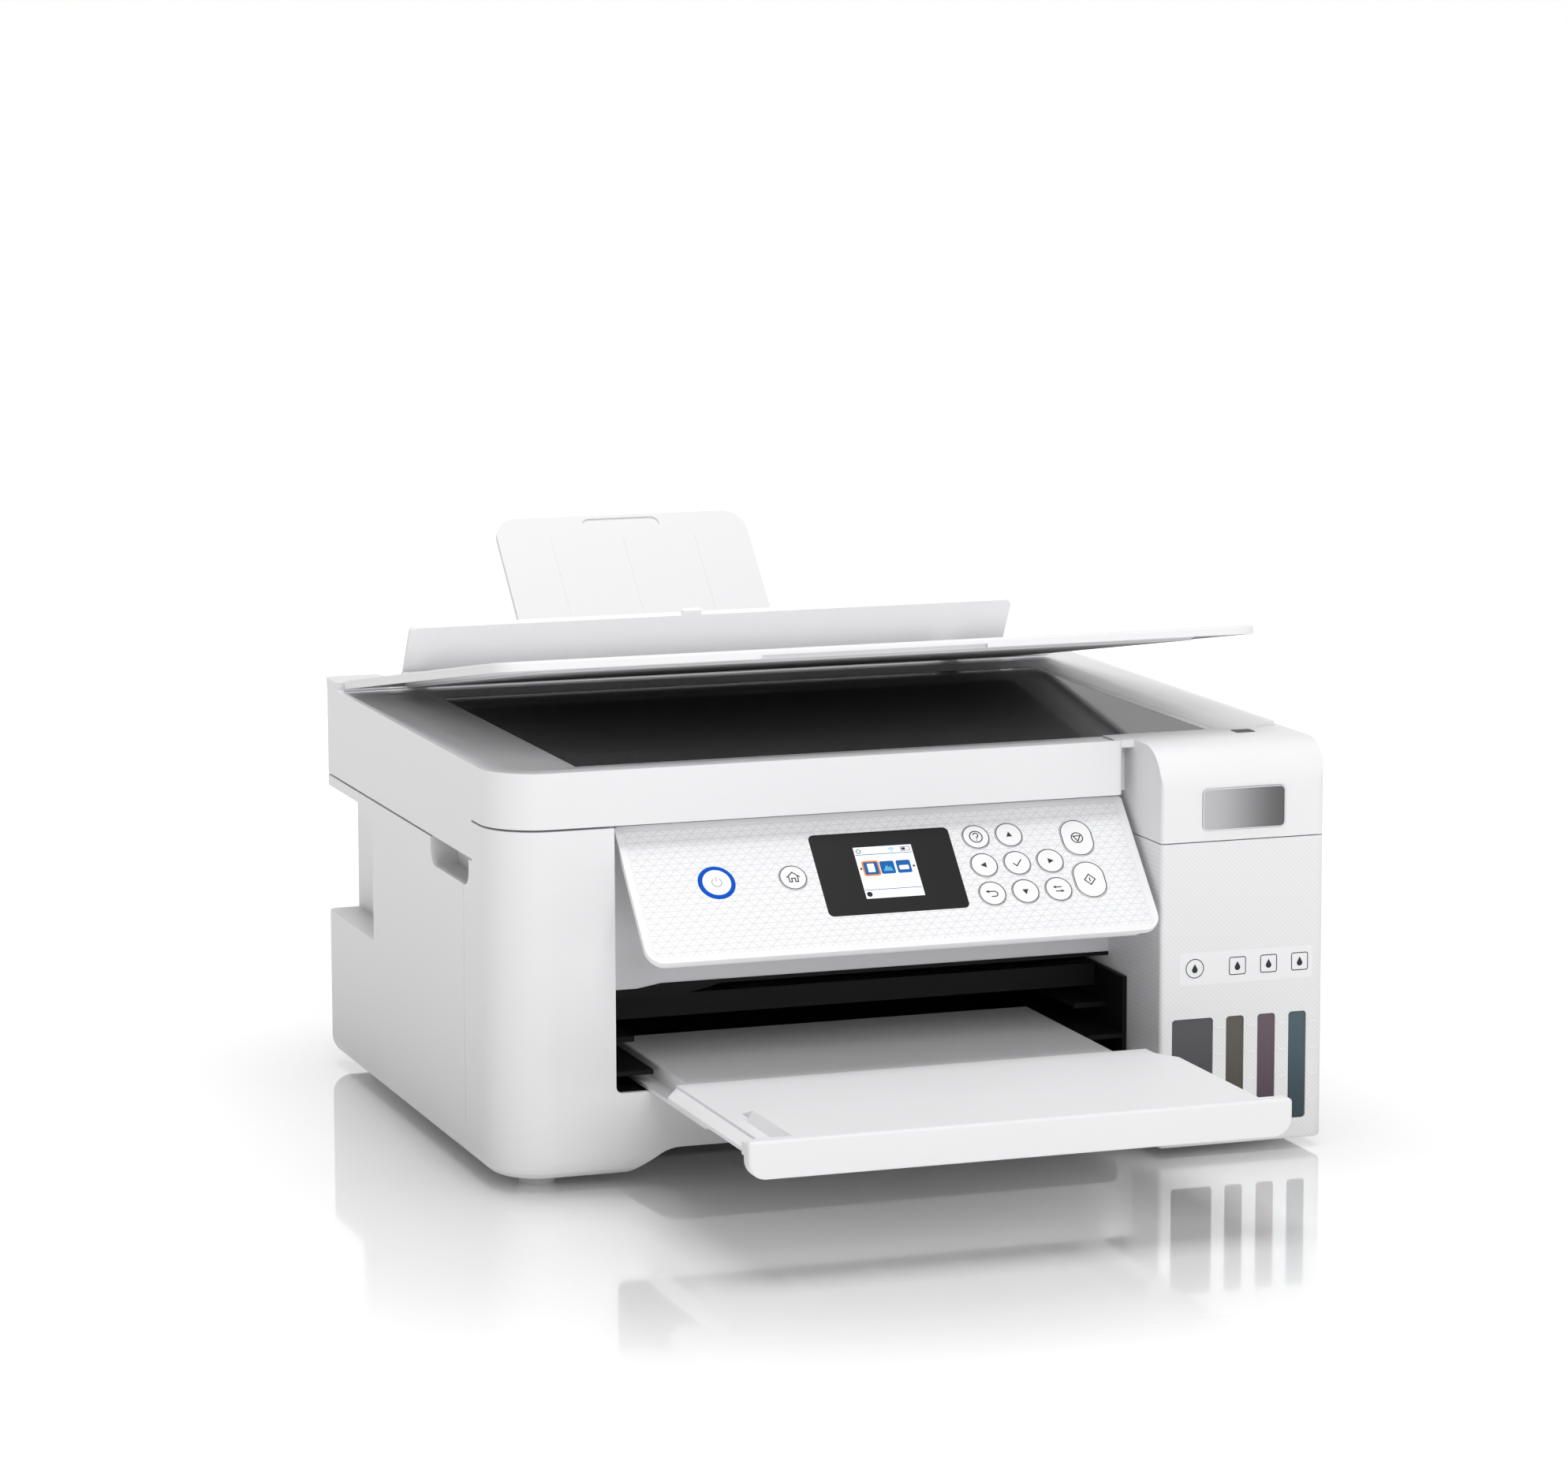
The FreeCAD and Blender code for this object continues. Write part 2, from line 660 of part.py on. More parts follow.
def lift_ear(x):
    """Upright ear at the rear that carries the scanner unit's hinge pin."""
    stem = box(x, x + LIFT_EAR_W, LIFT_Y - LIFT_EAR_R, LIFT_Y + LIFT_EAR_R - 1, CASE_TOP - 6, LIFT_Z)
    head = rod("x", LIFT_EAR_R, x, x + LIFT_EAR_W, LIFT_Y, LIFT_Z)
    foot = box(x, x + LIFT_EAR_W, LIFT_Y - LIFT_EAR_R, BODY_D - WALL / 2, CASE_TOP - 6, CASE_TOP)
    ear = joined(stem, head, foot)
    return less(ear, rod("x", LIFT_PIN_R + RUN, x - 1, x + LIFT_EAR_W + 1, LIFT_Y, LIFT_Z))


def board_x0():
    """Left edge of the main board."""
    return RIGHT - WALL - BOARD_W - 4.0


def standoff_places():
    """Centres of the main board's four standoffs."""
    inset = STANDOFF_R + 1.5
    y1 = BODY_D - WALL - 3.0
    xs = (board_x0() + inset, board_x0() + BOARD_W - inset)
    ys = (y1 - BOARD_D + inset, y1 - inset)
    return [(x, y) for x in xs for y in ys]


def window_sides(i):
    """Left and right side of one tank window."""
    return WINDOW_X[i] - WINDOW_W[i] / 2, WINDOW_X[i] + WINDOW_W[i] / 2


def cap_ear_xs(i):
    """Left sides of the two ears of one tank cap."""
    half = CAP_LEVER_W / 2 + CAP_EAR_GAP
    return WINDOW_X[i] - half - CAP_EAR_T, WINDOW_X[i] + half


def tank_housing():
    """Right front block that holds the ink tanks, with four windows and cap ears."""
    plan = [
        (OPEN_R, -TANK_FRONT, 2.0), (RIGHT, -TANK_FRONT, 4.0),
        (RIGHT, TANK_BACK - FIT), (OPEN_R, TANK_BACK - FIT),
    ]
    z0 = FOOT_H - 0.3
    block = prism(plan, "z", z0, TANK_TOP)
    block = rounded_edges(block, 1.6, lambda e: abs(e.BoundBox.ZMax - z0) < 1e-6 and
                          e.BoundBox.YMax < TANK_BACK - 1)
    inside = box(OPEN_R + TANK_WALL, RIGHT - TANK_WALL, -TANK_FRONT + TANK_WALL, TANK_BACK + 1,
                 z0 + TANK_WALL, TANK_TOP - TANK_WALL)
    cuts = [inside]
    for i in range(len(TANK_NAMES)):
        x0, x1 = window_sides(i)
        face = [(x0, WINDOW_Z0, WINDOW_R), (x1, WINDOW_Z0, WINDOW_R),
                (x1, WINDOW_Z1, WINDOW_R), (x0, WINDOW_Z1, WINDOW_R)]
        cuts.append(prism(face, "y", -TANK_FRONT - 1, -TANK_FRONT + TANK_WALL + 1))
        cuts.append(rod("z", NECK_R + FIT, TANK_TOP - TANK_WALL - 1, TANK_TOP + 1, WINDOW_X[i], NECK_Y))
    block = less(block, *cuts)
    ears = []
    axis_z = NECK_TOP + CAP_AXIS_UP
    for i in range(len(TANK_NAMES)):
        for x in cap_ear_xs(i):
            ear = prism([(CAP_AXIS_Y - 3, CASE_TOP - 1), (CAP_AXIS_Y + 3, CASE_TOP - 1),
                         (CAP_AXIS_Y + 3, axis_z + 3, 2.9), (CAP_AXIS_Y - 3, axis_z + 3, 2.9)],
                        "x", x, x + CAP_EAR_T)
            ears.append(less(ear, rod("x", CAP_PIN_R + RUN, x - 1, x + CAP_EAR_T + 1, CAP_AXIS_Y, axis_z)))
    return joined(block, *ears)


def ink_tank(i):
    """Tank with a filler neck on top and a boss that fills its window."""
    x0, x1 = window_sides(i)
    front = -TANK_FRONT + TANK_WALL + FIT
    body = plate(x0 - TANK_SIDE, x1 + TANK_SIDE, front, TANK_Y1, TANK_Z0, TANK_Z1, 1.2)
    face = [(x0 + FIT, WINDOW_Z0 + FIT, WINDOW_R), (x1 - FIT, WINDOW_Z0 + FIT, WINDOW_R),
            (x1 - FIT, WINDOW_Z1 - FIT, WINDOW_R), (x0 + FIT, WINDOW_Z1 - FIT, WINDOW_R)]
    boss = prism(face, "y", -TANK_FRONT + WINDOW_SET, front + 1)
    neck = rod("z", NECK_R, TANK_Z1 - 1, NECK_TOP, WINDOW_X[i], NECK_Y)
    foot = box(x0, x1, front + 8, TANK_Y1 - 8, FLOOR - WALL + TANK_WALL - 0.3, TANK_Z0 + 1)
    return joined(body, boss, neck, foot)


def tank_cap(i):
    """Plug cap with a lever and hinge pins."""
    axis_z = NECK_TOP + CAP_AXIS_UP
    disc = rod("z", CAP_R, NECK_TOP + FIT, NECK_TOP + FIT + CAP_H, WINDOW_X[i], NECK_Y)
    lever = box(WINDOW_X[i] - CAP_LEVER_W / 2, WINDOW_X[i] + CAP_LEVER_W / 2, NECK_Y, CAP_AXIS_Y,
                axis_z - 2.2, axis_z + 1.4)
    knuckle = rod("x", 2.4, WINDOW_X[i] - CAP_LEVER_W / 2, WINDOW_X[i] + CAP_LEVER_W / 2, CAP_AXIS_Y, axis_z)
    reach = CAP_LEVER_W / 2 + CAP_EAR_GAP + CAP_EAR_T
    pin = rod("x", CAP_PIN_R, WINDOW_X[i] - reach, WINDOW_X[i] + reach, CAP_AXIS_Y, axis_z)
    finger = box(WINDOW_X[i] - 2.5, WINDOW_X[i] + 2.5, NECK_Y - CAP_R - 3, NECK_Y - CAP_R + 2,
                 NECK_TOP + FIT + 1, NECK_TOP + FIT + 3)
    return joined(disc, lever, knuckle, pin, finger)


def unit_plan(inset):
    """Plan of the scanner unit."""
    return [
        (LEFT + inset, BODY_D - inset, 6.0),
        (LEFT + inset, inset, CORNER_R - inset),
        (OPEN_R - GAP_W - inset, inset, 2.5),
        (OPEN_R - GAP_W - inset, GAP_DEPTH + inset),
        (OPEN_R + inset, GAP_DEPTH + inset),
        (OPEN_R + inset, -TANK_FRONT + inset, 2.0),
        (RIGHT - inset, -TANK_FRONT + inset, 4.0),
        (RIGHT - inset, BODY_D - inset, 6.0),
        (RIGHT - TOWER_W + inset, BODY_D - inset),
        (RIGHT - TOWER_W + inset, UNIT_REAR - inset),
        (LEFT + TOWER_W - inset, UNIT_REAR - inset),
        (LEFT + TOWER_W - inset, BODY_D - inset),
    ]


def scanner_case():
    """Housing of the scanner unit with skirt, floor, towers and the front right block."""
    body = prism(unit_plan(0), "z", UNIT_Z, UNIT_TOP)
    roof = box(OPEN_R - GAP_W - 3, OPEN_R + 2, 1.5, GAP_DEPTH + 2, UNIT_TOP - GAP_ROOF, UNIT_TOP)
    tower_top = UNIT_TOP + TOWER_RISE
    towers = [plate(x, x + TOWER_W, UNIT_REAR - 2, BODY_D, UNIT_TOP - 1, tower_top, 5.0)
              for x in (LEFT, RIGHT - TOWER_W)]
    body = joined(body, roof, *towers)
    side = [
        (-TANK_FRONT, UNIT_Z - 1), (-TANK_FRONT, UNIT_TOP, BLOCK_TOP_R), (10, UNIT_TOP),
        (STEP_Y, tower_top + 1), (BODY_D, tower_top + 1), (BODY_D, UNIT_Z, LIFT_AXIS_IN - 0.01),
        (STEP_Y, UNIT_Z, 0), (STEP_Y, UNIT_Z - 1),
    ]
    body = body.common(prism(side, "x", LEFT - 1, RIGHT + 1))
    body = less(body, box(LEFT - 1, OPEN_R, -1, STEP_Y, UNIT_Z - 1, BAND_Z))
    floor_top = BAND_Z + UNIT_FLOOR
    skirt = box(LEFT + WALL, RIGHT - WALL, STEP_Y - 1, UNIT_REAR - WALL, UNIT_Z - 1, BAND_Z)
    room_y = -TANK_FRONT + WALL
    room_side = [(room_y, UNIT_Z - 1), (room_y, UNIT_TOP - WALL, BLOCK_TOP_R - WALL),
                 (CAP_ROOM_Y, UNIT_TOP - WALL), (CAP_ROOM_Y, UNIT_Z - 1)]
    cap_room = prism(room_side, "x", OPEN_R + WALL, RIGHT - WALL)
    cap_room = less(cap_room, box(OPEN_R, RIGHT, room_y - 1, CAP_ROOM_Y + 1, BED_Z0 - WALL, UNIT_TOP))
    throat = box(OPEN_R + WALL, RIGHT - WALL, CAP_ROOM_Y - 1, STEP_Y, UNIT_Z - 1, BAND_Z)
    bay = plate(LEFT + WALL, RIGHT - WALL, CAP_ROOM_Y + WALL, UNIT_REAR - WALL, floor_top, UNIT_TOP + 8, 1.0)
    front_bay = prism([(LEFT + WALL, CAP_ROOM_Y + 8), (LEFT + WALL, WALL, CORNER_R - WALL),
                       (OPEN_R - GAP_W - WALL, WALL), (OPEN_R - GAP_W - WALL, CAP_ROOM_Y + 8)],
                      "z", floor_top, UNIT_TOP + 8)
    bed_step = prism(bed_plan(FIT), "z", BED_Z0, UNIT_TOP + 8)
    feed_gap = box(LEFT + TOWER_W, RIGHT - TOWER_W, UNIT_REAR - WALL - 1, UNIT_REAR + 1, UNIT_Z - 1, BAND_Z)
    body = less(body, skirt, feed_gap, cap_room, throat, bay, front_bay, bed_step)
    cuts = []
    pins = []
    for x in EAR_XS:
        cuts.append(box(x - 0.6, x + LIFT_EAR_W + 0.6, LIFT_Y - LIFT_EAR_R - 4.5, BODY_D + 1, UNIT_Z - 1, LIFT_Z))
        cuts.append(rod("x", LIFT_EAR_R + 0.6, x - 0.6, x + LIFT_EAR_W + 0.6, LIFT_Y, LIFT_Z))
        pins.append(rod("x", LIFT_PIN_R, x - 1.6, x + LIFT_EAR_W + 1.6, LIFT_Y, LIFT_Z))
    for x in (LEFT + TOWER_W, RIGHT - TOWER_W):
        cuts.append(rod("x", GUARD_PIN_R + RUN, x - 4.5, x + 4.5, GUARD_Y, GUARD_Z))
    rib_y = GLASS_Y0 + GLASS_D / 2
    rib = box(LEFT + WALL, RIGHT - WALL, rib_y - SCAN_RIB_W / 2, rib_y + SCAN_RIB_W / 2,
              floor_top, floor_top + SCAN_RIB_H)
    ears = []
    for x in LID_HINGE_X:
        for side_x in (x - LID_LUG_W / 2 - 0.4 - LID_EAR_T, x + LID_LUG_W / 2 + 0.4):
            ear = prism([(LID_AXIS_Y - 3, UNIT_TOP - 2), (UNIT_REAR, UNIT_TOP - 2),
                         (LID_AXIS_Y + 3, LID_AXIS_Z + 3, 2.5), (LID_AXIS_Y - 3, LID_AXIS_Z + 3, 2.5)],
                        "x", side_x, side_x + LID_EAR_T)
            ears.append(less(ear, rod("x", LID_PIN_R + RUN, side_x - 1, side_x + LID_EAR_T + 1,
                                      LID_AXIS_Y, LID_AXIS_Z)))
    return joined(less(body, *cuts), rib, *pins, *ears)


def bed_plan(grow):
    """Plan of the bed frame that closes the scanner unit's top."""
    front_r = CORNER_R - WALL - BED_LIP
    x0 = LEFT + BED_LIP + WALL / 2 - grow
    x1 = RIGHT - BED_LIP - WALL / 2 + grow
    y0 = BED_LIP + WALL / 2 - grow
    y1 = UNIT_REAR - WALL - BED_LIP + grow
    y_block = GAP_DEPTH + 6.0 - grow
    return [
        (x0, y1), (x0, y0, front_r), (OPEN_R - GAP_W - BED_LIP - 2, y0),
        (OPEN_R - GAP_W - BED_LIP - 2, y_block), (x1, y_block), (x1, y1),
    ]


def glass_box(grow, z0, z1):
    """Box in the outline of the glass."""
    x0 = LEFT + GLASS_X0
    return box(x0 - grow, x0 + GLASS_W + grow, GLASS_Y0 - grow, GLASS_Y0 + GLASS_D + grow, z0, z1)


def scanner_bed():
    """Top frame with the glass opening, a shallow dish and a cove on the right."""
    frame = prism(bed_plan(0), "z", BED_Z0, UNIT_TOP - 0.5)
    x0 = LEFT + GLASS_X0
    x1 = x0 + GLASS_W
    y1 = GLASS_Y0 + GLASS_D

    def ring(grow_left, grow_right, grow_front, grow_back, z):
        corners = [V(x0 - grow_left, GLASS_Y0 - grow_front, z), V(x1 + grow_right, GLASS_Y0 - grow_front, z),
                   V(x1 + grow_right, y1 + grow_back, z), V(x0 - grow_left, y1 + grow_back, z)]
        return Part.makePolygon(corners + corners[:1])

    low = ring(0.5, 0.5, 0.5, 0.5, GLASS_Z)
    high = ring(GLASS_X0 - 8, COVE_W - 4, GLASS_Y0 - 7, 12, UNIT_TOP)
    dish = Part.makeLoft([low, high], True, True)
    frame = less(frame, dish, glass_box(-3.0, BED_Z0 - 1, UNIT_TOP), glass_box(FIT, GLASS_Z - GLASS_T, UNIT_TOP + 1))
    edge = RIGHT - BED_LIP - WALL / 2
    cove_x0 = edge - COVE_W
    top = UNIT_TOP + COVE_RISE
    middle = V(cove_x0 + (COVE_W - COVE_FLAT) * 0.58, 0, GLASS_Z + 0.5 + (top - GLASS_Z) * 0.28)
    start = V(cove_x0, 0, GLASS_Z + 0.5)
    stop = V(edge - COVE_FLAT, 0, top)
    wire = Part.Wire([
        Part.Arc(start, middle, stop).toShape(),
        Part.LineSegment(stop, V(edge, 0, top)).toShape(),
        Part.LineSegment(V(edge, 0, top), V(edge, 0, BED_Z0 + 0.5)).toShape(),
        Part.LineSegment(V(edge, 0, BED_Z0 + 0.5), V(cove_x0, 0, BED_Z0 + 0.5)).toShape(),
        Part.LineSegment(V(cove_x0, 0, BED_Z0 + 0.5), start).toShape(),
    ])
    cove = Part.Face(wire).extrude(V(0, UNIT_REAR - WALL - BED_LIP - GAP_DEPTH - 6.0, 0))
    cove.translate(V(0, GAP_DEPTH + 6.0, 0))
    return joined(frame, cove)


def scan_carriage():
    """Image sensor bar that travels under the glass on a floor rib."""
    x0 = LEFT + WALL + SCAN_BAR_HOME
    floor_top = BAND_Z + UNIT_FLOOR
    bar = box(x0, x0 + SCAN_BAR_W, CAP_ROOM_Y + WALL + SCAN_BAR_END, UNIT_REAR - WALL - SCAN_BAR_END,
              floor_top + FIT, BED_Z0 - 0.6)
    rib_y = GLASS_Y0 + GLASS_D / 2
    groove = box(x0 - 1, x0 + SCAN_BAR_W + 1, rib_y - SCAN_RIB_W / 2 - FIT, rib_y + SCAN_RIB_W / 2 + FIT,
                 floor_top - 1, floor_top + SCAN_RIB_H + FIT)
    lens = box(x0 + SCAN_BAR_W / 2 - 2, x0 + SCAN_BAR_W / 2 + 2, GLASS_Y0, GLASS_Y0 + GLASS_D,
               BED_Z0 - 1.6, BED_Z0)
    return less(bar, groove, lens)


def lid_closed():
    """Lid shell at its closed place, with lip, grip cut and hinge lugs."""
    x0 = LEFT + LID_LEFT
    x1 = x0 + LID_W
    plan = [(x0, LID_REAR, 3.0), (x0, LID_FRONT, LID_CORNER_R), (x1, LID_FRONT, LID_CORNER_R), (x1, LID_REAR, 3.0)]
    lid = prism(plan, "z", LID_Z, LID_Z + LID_T)
    lid = rounded_edges(lid, 1.5, lambda e: abs(e.BoundBox.ZMin - LID_Z - LID_T) < 1e-6)
    pocket = plate(x0 + LID_LIP_W, x1 - LID_LIP_W, LID_FRONT + LID_LIP_W, LID_REAR - LID_LIP_W,
                   LID_Z - 1, LID_Z + LID_T - LID_SHELL, LID_CORNER_R - LID_LIP_W)
    backing = box(x0 + PAD_SIDE, x1 - PAD_SIDE, LID_FRONT + PAD_FRONT, LID_REAR - PAD_FRONT,
                  LID_Z, LID_Z + LID_T - 1)
    grip = box(PATH_X - GRIP_W / 2, PATH_X + GRIP_W / 2, LID_FRONT - 1, LID_FRONT + LID_LIP_W + 1,
               LID_Z - 1, LID_Z + GRIP_H)
    parts = [backing]
    for x in LID_HINGE_X:
        lug = rod("x", LID_LUG_R, x - LID_LUG_W / 2, x + LID_LUG_W / 2, LID_AXIS_Y, LID_AXIS_Z)
        arm = box(x - LID_LUG_W / 2, x + LID_LUG_W / 2, LID_REAR - 2.5, LID_AXIS_Y,
                  LID_AXIS_Z - 2.2, LID_AXIS_Z + 0.2)
        reach = LID_LUG_W / 2 + 0.4 + LID_EAR_T
        pin = rod("x", LID_PIN_R, x - reach, x + reach, LID_AXIS_Y, LID_AXIS_Z)
        parts += [lug, arm, pin]
    return joined(less(lid, pocket, grip), *parts)


def lid_cover():
    """Lid at its photographed, slightly open angle."""
    return turned(lid_closed(), -LID_OPEN, LID_AXIS_Y, LID_AXIS_Z)


def lid_pad():
    """Document mat under the lid."""
    x0 = LEFT + LID_LEFT + PAD_SIDE
    x1 = LEFT + LID_LEFT + LID_W - PAD_SIDE
    pad = plate(x0, x1, LID_FRONT + PAD_FRONT, LID_REAR - PAD_FRONT, LID_Z - PAD_T, LID_Z, 4.0)
    return turned(pad, -LID_OPEN, LID_AXIS_Y, LID_AXIS_Z)


def feeder_guard():
    """Flap in front of the rear feeder, upright in its own frame and then tipped forward."""
    half = GUARD_W / 2
    face = [(-half, GUARD_Z - GUARD_DOWN, 1.5), (half, GUARD_Z - GUARD_DOWN, 1.5),
            (half, GUARD_Z + GUARD_UP, 4.0), (-half, GUARD_Z + GUARD_UP, 4.0)]
    flap = prism(face, "y", GUARD_Y - GUARD_T / 2, GUARD_Y + GUARD_T / 2)
    hem = box(-half + 1.0, half - 1.0, GUARD_Y + GUARD_T / 2 - 0.5, GUARD_Y + GUARD_T / 2 + 2.0,
              GUARD_Z + GUARD_UP - 5.5, GUARD_Z + GUARD_UP - 4.0)
    tab = plate(PATH_X - TAB_W / 2, PATH_X + TAB_W / 2, GUARD_Y - GUARD_T / 2 + 0.4, GUARD_Y + GUARD_T / 2 - 0.4,
                GUARD_Z + GUARD_UP - 1, GUARD_Z + GUARD_UP + TAB_H, 0.8)
    pin = rod("x", GUARD_PIN_R, LEFT + TOWER_W - 4.0, RIGHT - TOWER_W + 4.0, GUARD_Y, GUARD_Z)
    return turned(joined(flap, hem, tab, pin), GUARD_LEAN, GUARD_Y, GUARD_Z)


def on_hopper(shape):
    """Place a shape that stands upright behind the hopper's front face."""
    copy = shape.copy()
    copy.rotate(V(0, 0, 0), V(1, 0, 0), -HOPPER_LEAN)
    copy.translate(V(0, HOPPER_Y, HOPPER_Z))
    return copy


def rear_feed_tray():
    """Hopper with its rear wall, sides and floor, a pocket for the support and a guide slot."""
    slot_d = SUPPORT_T + 2 * FIT
    depth = 2 * HOPPER_SKIN + slot_d
    hopper = box(-FEED_HALF_W, FEED_HALF_W, 0, depth, -HOPPER_LEN, 0)
    pocket = box(PATH_X - SUPPORT_W / 2 - FIT, PATH_X + SUPPORT_W / 2 + FIT, HOPPER_SKIN,
                 HOPPER_SKIN + slot_d, -HOPPER_LEN - 1, 1)
    reach = GUIDE_GAP / 2 + GUIDE_BASE_W
    guide_slot = box(PATH_X - reach, PATH_X + reach, -1, HOPPER_SKIN + 0.5,
                     -GUIDE_SLOT_Z - GUIDE_SLOT_W / 2, -GUIDE_SLOT_Z + GUIDE_SLOT_W / 2)
    hopper = on_hopper(less(hopper, pocket, guide_slot))
    low_y = HOPPER_Y - HOPPER_LEN * math.sin(LEAN)
    low_z = HOPPER_Z - HOPPER_LEN * math.cos(LEAN)
    back = box(-FEED_HALF_W, FEED_HALF_W, FEED_REAR - WALL, FEED_REAR, FEED_Z0, HOPPER_Z - 12)
    floor = box(-FEED_HALF_W, FEED_HALF_W, BODY_D - WALL, FEED_REAR, FEED_Z0, FEED_Z0 + WALL)
    profile = [
        (low_y + 1.0, low_z - 1.0), (HOPPER_Y, HOPPER_Z), (HOPPER_Y + 2.5, FEED_TOP),
        (FEED_REAR, FEED_TOP - 4.0, 3.0), (FEED_REAR, FEED_Z0), (low_y + 1.0, FEED_Z0),
    ]
    cheeks = [prism(profile, "x", x, x + WALL) for x in (-FEED_HALF_W, FEED_HALF_W - WALL)]
    return joined(hopper, back, floor, *cheeks)


def paper_support():
    """Panel drawn up out of the hopper to hold the stack."""
    x0 = PATH_X - SUPPORT_W / 2
    x1 = PATH_X + SUPPORT_W / 2
    y0 = HOPPER_SKIN + FIT
    face = [(x0, -SUPPORT_TAIL), (x1, -SUPPORT_TAIL), (x1, SUPPORT_RISE, SUPPORT_R), (x0, SUPPORT_RISE, SUPPORT_R)]
    panel = prism(face, "y", y0, y0 + SUPPORT_T)
    ribs = [box(x - 0.8, x + 0.8, y0 - 0.2, y0 + 0.5, 12, SUPPORT_RISE - 14) for x in (x0 + 28, PATH_X, x1 - 28)]
    grip = prism([(PATH_X - 20, SUPPORT_RISE - 10, 4), (PATH_X + 20, SUPPORT_RISE - 10, 4),
                  (PATH_X + 20, SUPPORT_RISE - 2, 4), (PATH_X - 20, SUPPORT_RISE - 2, 4)],
                 "y", y0 - 1, y0 + 0.8)
    return on_hopper(joined(less(panel, grip), *ribs))


def edge_guide(side):
    """Sliding side guide of the hopper; side is -1 on the left and 1 on the right."""
    inner = PATH_X + side * GUIDE_GAP / 2
    outer = inner + side * GUIDE_T
    fin = prism([(-FIT, -GUIDE_FOOT), (-GUIDE_H, -GUIDE_FOOT + 10), (-GUIDE_H, -GUIDE_TOP, 3.0), (-FIT, -GUIDE_TOP)],
                "x", min(inner, outer), max(inner, outer))
    foot_end = outer + side * GUIDE_BASE_W
    base = box(min(inner, foot_end), max(inner, foot_end), -FIT - GUIDE_BASE_T, -FIT, -GUIDE_FOOT, -GUIDE_TOP - 4)
    tongue = box(min(inner, outer), max(inner, outer), -FIT - 0.5, HOPPER_SKIN - 0.5,
                 -GUIDE_SLOT_Z - GUIDE_SLOT_W / 2 + FIT, -GUIDE_SLOT_Z + GUIDE_SLOT_W / 2 - FIT)
    return on_hopper(joined(fin, base, tongue))


def rear_cover():
    """Pull-off cover of the duplex path, with a hollow back and two finger tabs."""
    y0 = BODY_D + FIT
    face = [(-COVER_HALF_W, COVER_Z0, 5), (COVER_HALF_W, COVER_Z0, 5),
            (COVER_HALF_W, COVER_Z1, 5), (-COVER_HALF_W, COVER_Z1, 5)]
    shell = prism(face, "y", y0, FEED_REAR)
    shell = rounded_edges(shell, 3.0, lambda e: e.BoundBox.YMin > FEED_REAR - 1e-6)
    plug = box(-COVER_HALF_W + COVER_PLUG_IN, COVER_HALF_W - COVER_PLUG_IN, BODY_D - COVER_PLUG_D, y0 + 1,
               COVER_Z0 + COVER_PLUG_IN, COVER_Z1 - COVER_PLUG_IN)
    hollow = box(-COVER_HALF_W + COVER_PLUG_IN + WALL, COVER_HALF_W - COVER_PLUG_IN - WALL,
                 BODY_D - COVER_PLUG_D - 1, FEED_REAR - WALL, COVER_Z0 + COVER_PLUG_IN + WALL,
                 COVER_Z1 - COVER_PLUG_IN - WALL)
    middle = (COVER_Z0 + COVER_Z1) / 2
    grips = [box(x - COVER_TAB / 2, x + COVER_TAB / 2, FEED_REAR - 1.2, FEED_REAR + 1, middle - 14, middle + 14)
             for x in (-COVER_HALF_W + 14, COVER_HALF_W - 14)]
    return less(joined(shell, plug), hollow, *grips)


def on_panel(shape):
    """Place a shape drawn flat (x, up the panel, outward) about the panel's hinge axis."""
    copy = shape.copy()
    copy.rotate(V(0, 0, 0), V(1, 0, 0), PANEL_TURN)
    copy.translate(V(0, PANEL_AXIS_Y, PANEL_AXIS_Z))
    return copy


def down(distance):
    """Height on the panel of a point so far below its top edge."""
    return PANEL_ABOVE - distance


def round_buttons():
    """Names and centres of the round keys, as (name, x, distance below the top edge, radius)."""
    left, middle, right = BUTTON_X - BUTTON_PITCH_X, BUTTON_X, BUTTON_X + BUTTON_PITCH_X
    top, low = BUTTON_ROW - BUTTON_PITCH_Y, BUTTON_ROW + BUTTON_PITCH_Y
    return [
        ("power_button", POWER_X, BUTTON_ROW, POWER_R),
        ("home_button", HOME_X, BUTTON_ROW, BUTTON_R),
        ("help_button", left, top, BUTTON_R),
        ("up_button", middle, top, BUTTON_R),
        ("left_button", left, BUTTON_ROW, BUTTON_R),
        ("ok_button", middle, BUTTON_ROW, BUTTON_R),
        ("right_button", right, BUTTON_ROW, BUTTON_R),
        ("back_button", left, low, BUTTON_R),
        ("down_button", middle, low, BUTTON_R),
        ("swap_button", right, low, BUTTON_R),
    ]


def pill_buttons():
    """Names and centres of the two long keys."""
    return [("stop_button", PILL_X, PILL_TOP_ROW), ("start_button", PILL_X, PILL_LOW_ROW)]


def pill(x, row, grow, z0, z1):
    """Upright rounded key outline."""
    middle = down(row)
    half_w = PILL_W / 2 + grow
    half_h = PILL_H / 2 + grow
    return plate(x - half_w, x + half_w, middle - half_h, middle + half_h, z0, z1, half_w - 0.4)


def screen_block(grow, z0, z1):
    """Block in the outline of the display window."""
    y1 = down(SCREEN_TOP)
    return plate(SCREEN_X - SCREEN_W / 2 - grow, SCREEN_X + SCREEN_W / 2 + grow, y1 - SCREEN_H - grow,
                 y1 + grow, z0, z1, SCREEN_R)


def lcd_block(grow, z0, z1):
    """Block in the outline of the lit picture."""
    y1 = down(LCD_TOP)
    return box(SCREEN_X - LCD_W / 2 - grow, SCREEN_X + LCD_W / 2 + grow, y1 - LCD_H - grow, y1 + grow, z0, z1)


